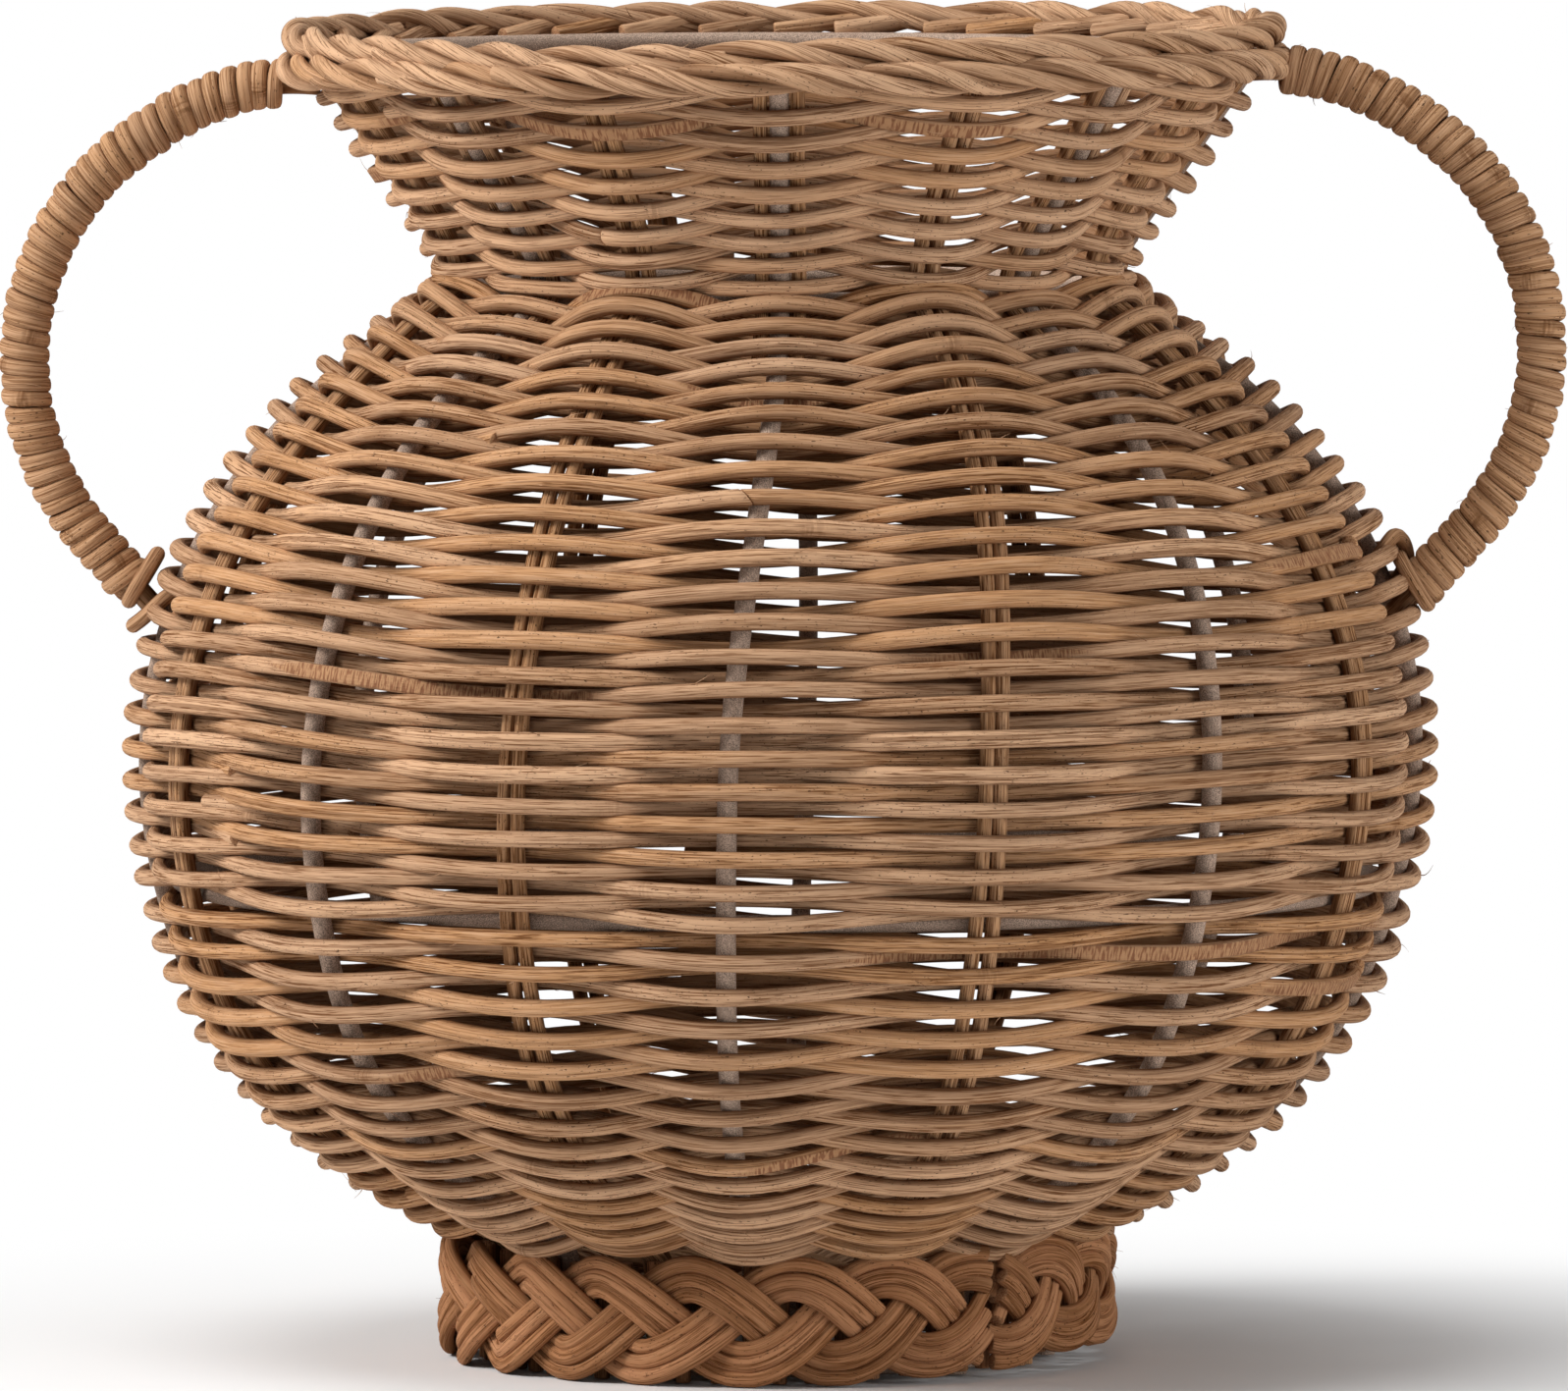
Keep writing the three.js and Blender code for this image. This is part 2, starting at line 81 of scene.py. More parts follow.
def colour(name, value, description):
    """A colour property."""
    return FloatVectorProperty(
        name=name, description=description, default=value, subtype="COLOR", min=0, max=1, size=3
    )


def share(name, value, description):
    """A property that is a share of a whole."""
    return FloatProperty(name=name, description=description, default=value, subtype="FACTOR", min=0, max=2)


def angle_of(name, degrees, description):
    """An angle property whose default is given in degrees."""
    return FloatProperty(name=name, description=description, default=math.radians(degrees), subtype="ANGLE")


def power(name, watts, description):
    """A property for the power of a lamp."""
    return FloatProperty(name=name, description=description, default=watts, unit="POWER")


class VaseOutline(PropertyGroup):
    """Half outline of the vase, measured to the centreline of its upright rods."""

    belly_radius: length("Belly radius", 175, "Radius at the widest part")
    belly_half_height: length("Belly half height", 147, "Half the height of the round belly")
    belly_centre: length("Belly centre", 168, "Height of the widest part")
    rim_radius: length("Rim radius", 130.5, "Radius at the top of the uprights")
    flare_slope: share("Flare", 0.705, "Radius gained per height in the neck")
    neck_round: length("Neck rounding", 17.8, "Softness of the turn between shoulder and neck")
    leg_radius: length("Leg radius", 75, "Where the rods stand inside the foot")
    leg_round: length("Leg rounding", 5, "Softness of the turn between foot and belly")
    leg_bottom: length("Leg bottom", 1, "Height of the lower ends of the uprights")
    warp_top: length("Upright top", 363, "Height of the upper ends of the uprights")
    fullness: length("Lower fullness", 5.3, "How far the lower belly stands out beyond its round")
    fullness_height: length("Fullness height", 74, "Height at which it stands out furthest")
    fullness_span: length("Fullness span", 41, "Height over which it comes back to the round")
    sway: length("Sway", 1.8, "How far the neck and the rim lean to the right")
    sway_foot: length("Sway below", -0.8, "How far the lower belly lies to the right")
    sway_bottom: length("Sway bottom", 80, "Height above which the vase leans")
    sway_top: length("Sway top", 240, "Height from which it leans no further")


class VaseFrame(PropertyGroup):
    """Steel rods and hoops, and the rattan stakes between the rods."""

    rod_diameter: length("Rod diameter", 5.5, "Thickness of an upright steel rod")
    hoop_diameter: length("Hoop diameter", 5, "Thickness of a steel hoop")
    base_hoop: length("Base hoop", 24, "Height of the hoop under the base")
    belly_hoop: length("Belly hoop", 132, "Height of the hoop in the lower belly")
    neck_hoop: length("Neck hoop", 299, "Height of the hoop at the neck")
    rim_hoop_drop: length("Rim hoop drop", 5.2, "From the tops of the rods down to the rim hoop")
    stake_diameter: length("Stake diameter", 4.2, "Thickness of an upright cane")
    stake_spacing: length("Stake spacing", 4.6, "Between the centrelines of a pair of stakes")
    neck_stake_foot: length("Neck stake foot", 286, "Height at which the short stakes beside the rods begin")
    stake_stand: length("Stake stand", 4.5, "How far the stakes stand off the wall at the neck's bend")
    bend_height: length("Bend height", 291, "Height at which the stakes stand off furthest")
    bend_span: length("Bend span", 24, "Length up the wall over which they come back to it")


class VaseWeave(PropertyGroup):
    """The two weavers that chase each other round the uprights."""

    cane_diameter: length("Weaver diameter", 4.8, "Thickness of a weaver")
    row_pitch: length("Row pitch", 4.4, "Between two rows up the wall")
    neck_pitch: length("Neck pitch", 3.9, "Between two rows in the neck, where they lie closer")
    bottom: length("Weave bottom", 40, "Height on the uprights of the lowest row")
    hoop_slot: length("Hoop slot", 2.8, "From the belly hoop to the row beside it where that passes outside")
    hoop_give: length("Hoop give", 1.5, "How much further the row keeps off that hoop where it passes inside")
    neck_slot: length("Neck slot", 1.9, "From the neck hoop to the row beside it where that passes outside")
    neck_give: length("Neck give", 2.4, "How much further the row keeps off that hoop where it passes inside")
    drift: length("Drift", 1.2, "How far the rows wander up and down together")
    wander: length("Wander", 0.42, "How far one cane wanders from its row")
    tilt: length("Tilt", 1.2, "How far the rows lie lower at the front and higher at the back")


class VaseBorder(PropertyGroup):
    """Twisted rolls of cane round the rim."""

    cane_diameter: length("Border cane", 4.75, "Thickness of a cane in the rim")
    roll_diameter: length("Roll diameter", 9.9, "Thickness of a rolled row")
    lay: length("Lay", 72, "Length of one full twist")
    strands: IntProperty(name="Strands", description="Canes twisted into one roll", default=3, min=2, max=6)
    tail_count: IntProperty(name="Tails", description="Cut ends laid along the inside", default=38, min=4)
    tail_length: length("Tail length", 29, "Length of a cut end inside the rim")


class VaseFoot(PropertyGroup):
    """Upright canes of the foot, the plait round them and the base inside."""

    cane_diameter: length("Foot cane", 4.4, "Thickness of a cane in the foot")
    cane_count: IntProperty(name="Foot canes", description="Upright canes round the foot", default=58, min=8)
    plait_waves: IntProperty(
        name="Plait waves", description="Waves of a strand round the foot", default=7, min=3
    )
    plait_bottom: length("Plait bottom", 1.0, "Lower edge of the plait")
    plait_top: length("Plait top", 35, "Upper edge of the plait")
    plait_depth: length("Plait depth", 2.6, "How far a strand sways in and out")
    plait_stand: length("Plait stand", 2.1, "How far the plait stands off the upright canes")
    joint_angle: angle_of("Plait joint", -47, "Where the ends of the plait meet")
    joint_gap: length("Joint gap", 2.2, "Between the cut ends of the plait")


class VaseHandle(PropertyGroup):
    """An arc from the rim that runs on straight to the shoulder, wound with one cane."""

    centre_x: length("Arc centre out", 138, "Centre of the arc, out from the axis")
    centre_z: length("Arc centre height", 286.5, "Height of the centre of the arc")
    radius: length("Arc radius", 71, "Radius of the arc")
    arc_end: angle_of("Arc end", -42, "Angle at which the arc turns into the straight")
    core_diameter: length("Core diameter", 6.2, "Thickness of the core")
    cane_diameter: length("Binding diameter", 4.3, "Thickness of the wound cane")
    pitch: length("Binding pitch", 4.4, "Between two turns of the binding")


class VaseColours(PropertyGroup):
    """Colours of the canes, the steel and the floor."""

    pale: colour("Pale cane", (0.65, 0.402, 0.242), "Lightest tone of the canes")
    warm: colour("Warm cane", (0.52, 0.275, 0.128), "Warm tone of the canes")
    grey: colour("Grey cane", (0.42, 0.245, 0.140), "Weathered tone of the canes")
    # The fibre colour is also the colour of the painted shade on the turned-in side of the canes
    fibre: colour("Fibre", (0.13, 0.046, 0.013), "Dark lines between the fibres")
    pore: colour("Pore", (0.05, 0.024, 0.012), "Dark pores and specks")
    split: colour("Split face", (0.43, 0.235, 0.120), "Flat face of a split cane")
    rung: colour("Split rung", (0.25, 0.110, 0.055), "Torn cells across a split face and in cut ends")
    foot: colour("Foot cane", (0.38, 0.175, 0.077), "Tone of the canes in the foot")
    steel: colour("Steel", (0.435, 0.312, 0.237), "Textured paint of the rods")
    floor: colour("Floor", (0.86, 0.86, 0.86), "Pale floor")


class VaseStage(PropertyGroup):
    """Camera and soft studio light."""

    azimuth: angle_of("Camera azimuth", 2.5, "Camera turned round the vase")
    distance: length("Camera distance", 5333, "Camera to the axis of the vase")
    camera_height: length("Camera height", 536, "Height of the camera")
    aim_height: length("Aim height", 184, "Height that the camera looks at")
    aim_side: length("Aim aside", 1.8, "How far right of the axis the camera looks")
    field: length("Field width", 435.2, "Width of the picture at the vase")
    key: power("Key light", 126, "Power of the large soft light from the upper left")
    fill: power("Fill light", 53, "Power of the soft light from the right")
    top: power("Top light", 30, "Power of the soft light from above")
    sky: share("Sky", 0.26, "Strength of the even light from all round")
    shadow_near: length("Shadow near", 130, "Out to here the floor shows all of its shadow")
    shadow_far: length("Shadow far", 420, "From here on the floor is as white as the background")


# Smooth shapes over arrays

WAVES = 4  # waves that make up a wandering
WAVE_SPREAD = (0.6, 1.8)  # their shortest and longest span, as shares of the one asked for
WAVE_GAIN = 1.4  # brings the largest wandering to about its size


def soft_max(a, b, softness):
    """The larger of two values, with a soft corner where they cross."""
    return (a + b + np.hypot(a - b, softness)) / 2


def ease(t):
    """0 to 1 with a soft start and end."""
    t = np.clip(t, 0, 1)
    return t * t * (3 - 2 * t)


def unit(vectors):
    """Vectors brought to a length of 1."""
    return vectors / np.linalg.norm(vectors, axis=-1, keepdims=True)


def dot(a, b):
    """Dot products of rows of vectors."""
    return np.sum(a * b, axis=-1, keepdims=True)


def round_axis(radius, angle, z):
    """Points at radii and angles round the axis, and heights."""
    return np.stack(np.broadcast_arrays(radius * np.cos(angle), radius * np.sin(angle), z), -1)


def waver(rng, places, size, span):
    """Smooth seeded wandering along a run of places, by about a size and with waves of about a span."""
    places = np.asarray(places, float)
    total = np.zeros_like(places)
    for _ in range(WAVES):
        total += np.sin(places * TAU / (span * rng.uniform(*WAVE_SPREAD)) + rng.uniform(0, TAU))
    return size * (total / WAVES * WAVE_GAIN)


def smooth_path(points, per_span=10):
    """A curve through a few points that are given in millimetres."""
    p = np.asarray(points, float) * MM
    p = np.concatenate([2 * p[:1] - p[1:2], p, 2 * p[-1:] - p[-2:-1]])
    t = np.linspace(0, 1, per_span, endpoint=False)[:, None]
    spans = []
    for a, b, c, d in zip(p, p[1:], p[2:], p[3:]):
        bend = 2 * a - 5 * b + 4 * c - d
        spans.append(b + ((c - a) * t + bend * t ** 2 + (3 * b - 3 * c + d - a) * t ** 3) / 2)
    return np.concatenate([*spans, p[-2:-1]])


class Drift:
    """Smooth seeded waves over the angle round the vase and the length up its wall."""

    WAVES = 9
    TURNS = (2, 8)  # fewest waves round the vase, and one more than the most
    RATE = 45  # most radians per metre up the wall

    def __init__(self, rng):
        self.turns = rng.integers(*self.TURNS, self.WAVES)
        self.rates = rng.uniform(-self.RATE, self.RATE, self.WAVES)
        self.phases = rng.uniform(0, TAU, self.WAVES)

    def at(self, angle, up):
        """The sum of the waves, mostly between -1 and 1."""
        waves = zip(self.turns, self.rates, self.phases)
        return sum(np.sin(t * angle + r * up + p) for t, r, p in waves) / math.sqrt(len(self.turns))


class Wall:
    """The wall along the uprights: places and directions at a length up it and an angle round it."""

    # Degrees by which uprights lean aside at the belly and at the neck, by their places
    FRONT_LEAN = {10: (1.0, 0.5), 11: (0.7, 0.6), 12: (-2.1, 1.9), 13: (-0.9, 3.8), 14: (-0.7, 2.6)}
    LOOSE_LEAN = 0.9  # spread of the lean of the other uprights
    SINK = 0.3  # share of the stakes' stand by which the rods lie further in

    def __init__(self, vase):
        o = vase.outline
        z = np.linspace(o.leg_bottom, o.warp_top, LINE_STEPS + 1)
        rise = (z - o.belly_centre) / o.belly_half_height
        belly = o.belly_radius * np.sqrt(np.maximum(0, 1 - rise * rise))
        flare = o.rim_radius - (o.warp_top - z) * o.flare_slope
        self.z = z
        self.r = soft_max(soft_max(belly, flare, o.neck_round), o.leg_radius, o.leg_round)
        self.r += o.fullness * np.exp(-(((z - o.fullness_height) / o.fullness_span) ** 2))
        rise = ease((z - o.sway_bottom) / (o.sway_top - o.sway_bottom))
        self.sway = o.sway_foot + (o.sway - o.sway_foot) * rise
        self.up = np.concatenate([[0], np.cumsum(np.hypot(np.diff(self.r), np.diff(z)))])
        self.dr = np.gradient(self.r, self.up)
        self.dz = np.gradient(self.z, self.up)
        self.top = self.up[-1]
        self.belly_up = self.length_at(o.belly_centre)
        self.neck_up = self.length_at(vase.steel.neck_hoop)
        self.stand = vase.steel.stake_stand
        self.bend_up = self.length_at(vase.steel.bend_height)
        self.bend_span = vase.steel.bend_span
        lean = np.random.default_rng(SEED).normal(0, self.LOOSE_LEAN, (UPRIGHTS, 2))
        for place, values in self.FRONT_LEAN.items():
            lean[place] = values
        self.lean = np.radians(lean)

    def length_at(self, z):
        """Length up the wall at a height."""
        return float(np.interp(z, self.z, self.up))

    def angle(self, place, up):
        """Angle round the vase at a place among the uprights, which lean a little."""
        index = np.mod(place, UPRIGHTS)
        low = np.floor(index).astype(int)
        between = (index - low)[..., None]
        lean = self.lean[low % UPRIGHTS] * (1 - between) + self.lean[(low + 1) % UPRIGHTS] * between
        rise = ease((up - self.belly_up) / (self.neck_up - self.belly_up))
        return np.asarray(place) * TAU / UPRIGHTS + lean[..., 0] * (1 - rise) + lean[..., 1] * rise

    def proud(self, place, up):
        """How far the wall stands out at the stakes, and in at the rods, where it bends into the neck."""
        at_stakes = np.sin(np.asarray(place) * math.pi / 2) ** 2
        return self.stand * (at_stakes - self.SINK) * np.exp(-(((up - self.bend_up) / self.bend_span) ** 2))

    def at(self, up, angle):
        """Points on the wall, with the directions out of it and round it."""
        up, angle = np.broadcast_arrays(np.asarray(up, float), np.asarray(angle, float))
        lines = (self.r, self.z, self.dr, self.dz, self.sway)
        r, z, dr, dz, sway = (np.interp(up, self.up, line) for line in lines)
        point = round_axis(r, angle, z)
        point[..., 0] += sway
        return point, round_axis(dz, angle, -dr), round_axis(1.0, angle + TAU / 4, 0.0)


class Canes:
    """Round canes gathered into one mesh.

    Each point keeps its place in its cane in millimetres (across, across, along) for the grain, the kind of
    its cane (tone, warmth, wear), its marks (split face, cut end, knot) and its painted shade, which is 1 on
    the side that is turned in, where it darkens the cane as if shade fell into the grooves between canes.
    """

    END_RINGS = ((0.05, 0.20), (0.55, 0.20), (0.90, 0.14))  # share of the radius, and bulge past the cut
    ROUND = 2.0  # share of the radius at which a flat cuts nothing off
    GRAIN_SPREAD = 900  # millimetres over which the canes take up their grain
    SHADE_EDGE, SHADE_SPAN = 0.35, 0.9  # where the painted shade on the inner side ends, and how softly

    def __init__(self, rng, sides=14):
        self.rng, self.sides = rng, sides
        self.points, self.places, self.kinds, self.marks, self.shades, self.rings = [], [], [], [], [], []
        self.count = 0

    def add(
        self, path, out, radius, flat=None, closed=False, kind=None, knots=None,
        squash=1.0, square=1.0, scarf=(0, 0),
    ):
        """One cane along a path. out is roughly away from what it lies on; flat cuts its outer side off at
        a share of its radius; squash widens it and thins it by the same share; square below 1 fills its
        corners; scarf slants its two ends."""
        path = np.asarray(path, float)
        n = len(path)
        radius = np.broadcast_to(np.asarray(radius, float), (n,))
        flat = np.full(n, self.ROUND) if flat is None else flat
        knots = np.zeros(n) if knots is None else knots
        if closed:
            ahead = unit(np.roll(path, -1, 0) - np.roll(path, 1, 0))
        else:
            ahead = unit(np.gradient(path, axis=0))
        out = np.broadcast_to(out, path.shape)
        across = unit(out - dot(out, ahead) * ahead)
        if not np.isfinite(across).all():
            raise ValueError("a cane has no direction somewhere along its path")
        beside = np.cross(ahead, across)
        along = np.concatenate([[0], np.cumsum(np.linalg.norm(np.diff(path, axis=0), axis=1))])
        size, cut = np.ones(n), np.zeros(n)
        caps = 0 if closed else len(self.END_RINGS)
        if caps:
            shares, bulges = np.array(self.END_RINGS).T
            head = path[0] - ahead[0] * (bulges * radius[0])[:, None]
            tail = path[-1] + ahead[-1] * (bulges[::-1] * radius[-1])[:, None]
            path = np.concatenate([head, path, tail])
            pad = (caps, caps)
            across, beside = (np.pad(a, (pad, (0, 0)), mode="edge") for a in (across, beside))
            radius, flat, knots, along = (np.pad(a, pad, mode="edge") for a in (radius, flat, knots, along))
            size = np.concatenate([shares, size, shares[::-1]])
            cut = np.pad(cut, pad, constant_values=1.0)
            n = len(path)
        turn = math.pi + np.arange(self.sides) * TAU / self.sides
        cos, sin = np.cos(turn)[None, :], np.sin(turn)[None, :]
        reach = (radius * size)[:, None]
        outer = np.minimum(np.sign(cos) * np.abs(cos) ** square, flat[:, None])
        wide = np.sign(sin) * np.abs(sin) ** square
        shape = (
            path[:, None, :]
            + across[:, None, :] * (reach * outer / squash)[..., None]
            + beside[:, None, :] * (reach * wide * squash)[..., None]
        )
        ends = ((slice(0, caps + 1), ahead[0], scarf[0]), (slice(n - caps - 1, n), ahead[-1], scarf[1]))
        for rings, heading, slant in ends if caps else ():
            shape[rings] += heading * (slant * reach * wide)[rings][..., None]
        place = np.stack(np.broadcast_arrays(reach * cos, reach * sin, along[:, None]), -1) / MM
        place = place + self.rng.uniform(0, self.GRAIN_SPREAD, 3)
        kind = self.rng.uniform(0, 1, 3) if kind is None else np.asarray(kind, float)
        marks = np.stack(np.broadcast_arrays((cos > flat[:, None]) * 1.0, cut[:, None], knots[:, None]), -1)
        self.points.append(shape.reshape(-1, 3))
        self.places.append(place.reshape(-1, 3))
        self.kinds.append(np.tile(kind, (n * self.sides, 1)))
        self.marks.append(marks.reshape(-1, 3))
        # Painted shade: 1 on the side turned in towards what the cane lies on, which darkens it as if in
        # shade
        self.shades.append(np.tile(1 - ease((cos[0] + self.SHADE_EDGE) / self.SHADE_SPAN), n))
        self.rings.append((self.count, n, closed))
        self.count += n * self.sides

    def faces(self):
        """Corners of the quads round all canes, and of the caps on their ends."""
        quads, caps = [], []
        side = np.arange(self.sides)
        right = (side + 1) % self.sides
        for first, n, closed in self.rings:
            ring = np.arange(n if closed else n - 1)
            here = first + (ring[:, None] * self.sides)
            ahead = first + (((ring + 1) % n)[:, None] * self.sides)
            corners = (here + side, here + right, ahead + right, ahead + side)
            quads.append(np.stack(corners, -1).reshape(-1, 4))
            if not closed:
                caps.append(list(first + side[::-1]))
                caps.append(list(first + (n - 1) * self.sides + side))
        return np.concatenate(quads), caps

    def bake_map(self, spans):
        """Strips of cane laid in rows over a unit square, four corners for each quad."""
        aspect = 2.8  # a cane is about this many times further round than one span is long
        margin = 0.06  # share of a row that is left clear on both sides
        filled = 0.999  # share of its length that a span takes up
        per_row = max(1, math.ceil(math.sqrt(spans * aspect)))
        rows = math.ceil(spans / per_row)
        span = np.arange(spans)
        high_share = (1 - 2 * margin) / self.sides
        low = ((span // per_row)[:, None] + margin + high_share * np.arange(self.sides)) / rows
        high = low + high_share / rows
        left = np.broadcast_to(((span % per_row) / per_row)[:, None], low.shape)
        right = left + filled / per_row
        return np.stack([left, low, left, high, right, high, right, low], -1).reshape(-1, 2)

    def build(self, name, finish, slot, replaces=None):
        """Makes the mesh, lays its maps and attributes, and puts it on the frame, where it stands for the
        node of its own name if it isn't told which nodes it replaces."""
        quads, caps = self.faces()
        mesh = bpy.data.meshes.new(name)
        mesh.from_pydata(np.concatenate(self.points), [], quads.tolist() + caps)
        vectors = {"cane_place": self.places, "cane_kind": self.kinds, "cane_marks": self.marks}
        for label, values in vectors.items():
            data = mesh.attributes.new(label, "FLOAT_VECTOR", "POINT").data
            data.foreach_set("vector", np.concatenate(values).astype(np.float32).ravel())
        # Painted shade of each point, which the finish darkens the cane by
        shade = mesh.attributes.new("cane_shade", "FLOAT", "POINT").data
        shade.foreach_set("value", np.concatenate(self.shades).astype(np.float32))
        corners = self.bake_map(len(quads) // self.sides)
        fill = np.zeros((len(caps) * self.sides, 2)) + corners[:1]
        layer = mesh.uv_layers.new(name="OFBake")
        layer.data.foreach_set("uv", np.concatenate([corners, fill]).astype(np.float32).ravel())
        mesh.shade_smooth()
        mesh.materials.append(finish)
        piece = bpy.data.objects.new(name, mesh)
        bpy.context.scene.collection.objects.link(piece)
        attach(piece, BODY)
        replaces = [name] if replaces is None else replaces
        if replaces:
            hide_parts(*replaces)


# Finishes


def maths_operator(operation):
    """A Python operator on values that adds a Math node, and its reflected form."""

    def forward(self, other):
        return self.maths(operation, self, other)

    def reflected(self, other):
        return self.maths(operation, other, self)

    return forward, reflected


class Value:
    """A shader socket on which Python arithmetic adds Math nodes."""

    def __init__(self, tree, socket):
        self.tree, self.socket = tree, socket

    def node(self, kind, settings=None, out=0, **sockets):
        """Any node: its type, its settings, and the values or links of its sockets by name."""
        return add_node(self.tree, kind, settings, out, **sockets)

    def maths(self, operation, a, b):
        """A Math node on two values."""
        return self.node("ShaderNodeMath", {"operation": operation}, _0=a, _1=b)

    __add__, __radd__ = maths_operator("ADD")
    __sub__, __rsub__ = maths_operator("SUBTRACT")
    __mul__, __rmul__ = maths_operator("MULTIPLY")


def add_node(tree, kind, settings=None, out=0, **sockets):
    """Adds a node, sets it up, and feeds its sockets. A socket is named, or numbered as _0, _1 and so on."""
    node = tree.nodes.new(kind)
    for name, value in (settings or {}).items():
        setattr(node, name, value)
    for name, value in sockets.items():
        socket = node.inputs[int(name[1:])] if name.startswith("_") else node.inputs[name.replace("_", " ")]
        if isinstance(value, Value):
            tree.links.new(value.socket, socket)
        elif hasattr(socket.default_value, "__len__") and len(socket.default_value) == 4 and len(value) == 3:
            socket.default_value = (*value, 1)
        else:
            socket.default_value = value
    return Value(tree, node.outputs[out]) if len(node.outputs) else None


def mix(factor, a, b):
    """A colour between two colours."""
    source = next(v for v in (factor, a, b) if isinstance(v, Value))
    return source.node("ShaderNodeMix", {"data_type": "RGBA"}, out=2, _0=factor, _6=a, _7=b)


def ramp(value, low, high):
    """0 below low and 1 above high."""
    soft = {"interpolation_type": "SMOOTHSTEP"}
    return value.node("ShaderNodeMapRange", soft, Value=value, _1=low, _2=high)


def noise(place, across, along, detail=2.0, roughness=0.5):
    """Noise round 0.5 that is drawn out along a cane: features per millimetre across and along it."""
    scaled = place.node(
        "ShaderNodeVectorMath", {"operation": "MULTIPLY"}, _0=place, _1=(across, across, along)
    )
    return place.node(
        "ShaderNodeTexNoise", None, Vector=scaled, Scale=1.0, Detail=detail, Roughness=roughness
    )


def new_finish(name):
    """An empty material and its tree."""
    finish = bpy.data.materials.new(name)
    finish.use_nodes = True
    finish.node_tree.nodes.clear()
    return finish, finish.node_tree


def attribute(tree, label):
    """A vector that the canes' points keep."""
    return add_node(tree, "ShaderNodeAttribute", {"attribute_name": label}, out=1)


def parts(vector):
    """The three numbers of a vector."""
    return [vector.node("ShaderNodeSeparateXYZ", None, out=i, Vector=vector) for i in range(3)]


def close_finish(tree, **sockets):
    """Puts the surface shader on a material."""
    surface = add_node(tree, "ShaderNodeBsdfPrincipled", None, **sockets)
    add_node(tree, "ShaderNodeOutputMaterial", None, Surface=surface)


GRAIN = {  # features per millimetre across and along a cane, detail, and roughness
    "streaks": (0.9, 0.012, 2.0, 0.6),
    "hairs": (2.6, 0.07, 2.0, 0.65),
    "patches": (0.11, 0.016, 2.0, 0.5),
    "stains": (0.32, 0.06, 2.0, 0.5),
    "pores": (2.3, 0.9, 1.0, 0.5),
    "rungs": (0.22, 1.6, 1.0, 0.5),
}
MATT, SATIN = 0.06, 0.15  # specular levels of dry cane and of paint


def cane_finish(name, pale, warm, grey, colours):
    """Peeled rattan: fibres and grooves along the cane, pores and stains, and tones that differ by cane."""
    found = bpy.data.materials.get(name)
    if found:
        return found
    finish, tree = new_finish(name)
    place = attribute(tree, "cane_place")
    tone, warmth, wear = parts(attribute(tree, "cane_kind"))
    split, cut, knot = parts(attribute(tree, "cane_marks"))
    # Painted shade on the turned-in side of each cane
    shade = add_node(tree, "ShaderNodeAttribute", {"attribute_name": "cane_shade"}, out="Fac")

    streaks, hairs, patches, stains, pores, rungs = (noise(place, *grain) for grain in GRAIN.values())

    # A ramp's numbers say where in the noise a mark begins and is full, and a factor how strong it is.
    # Tones of the cane and of its patches, pale ridges, and painted shade on the side of each cane that is
    # turned in
    body = mix(ramp(warmth * 0.75 + patches * 0.8, 0.43, 1.12), grey, warm)
    body = mix(ramp(tone * 0.75 + patches * 0.8, 0.48, 1.22), body, pale)
    body = mix(ramp(1 - hairs, 0.52, 0.62) * 0.5, body, pale)
    body = mix(shade * 0.66, body, colours.fibre)
    # Dark bands and lines between the fibres, which are stronger on a worn cane, and stains and specks
    bands = ramp(streaks, 0.52, 0.63)
    body = mix(bands * (0.28 + 0.34 * wear), body, colours.fibre)
    lines = ramp(hairs, 0.54, 0.60)
    body = mix(lines * (0.45 + 0.45 * wear), body, colours.fibre)
    body = mix(ramp(stains, 0.58, 0.74) * 0.35, body, colours.split)
    specks = ramp(pores, 0.67, 0.72) * ramp(patches, 0.40, 0.56)
    body = mix(specks * 0.85, body, colours.pore)
    # Split faces, cut ends and leaf scars
    torn = mix(ramp(rungs, 0.42, 0.54), colours.rung, colours.split)
    body = mix(split, body, torn)
    body = mix(cut * 0.85, body, mix(ramp(pores, 0.42, 0.60), colours.split, colours.rung))
    body = mix(knot * ramp(rungs, 0.3, 0.6) * 0.7, body, colours.fibre)

    height = 1.6 - hairs - 0.8 * streaks - specks * 0.4 + split * rungs + knot * rungs
    bump = add_node(tree, "ShaderNodeBump", None, Strength=0.8, Distance=0.5 * MM, Height=height)
    rough = 0.74 + 0.16 * lines
    close_finish(tree, Base_Color=body, Roughness=rough, Normal=bump, Specular_IOR_Level=MATT)
    return finish


def rattan(vase):
    """Bleached cane of the wall, the rim and the handles."""
    c = vase.colours
    return cane_finish("rattan_cane", c.pale, c.warm, c.grey, c)


def foot_rattan(vase):
    """Darker cane of the foot, in tones that are a little lighter and darker than its own."""
    c = vase.colours
    lighter, darker = (tuple(k * v + grey for v in c.foot) for k, grey in ((1.3, 0.03), (0.72, 0.0)))
    return cane_finish("rattan_foot_cane", lighter, c.foot, darker, c)


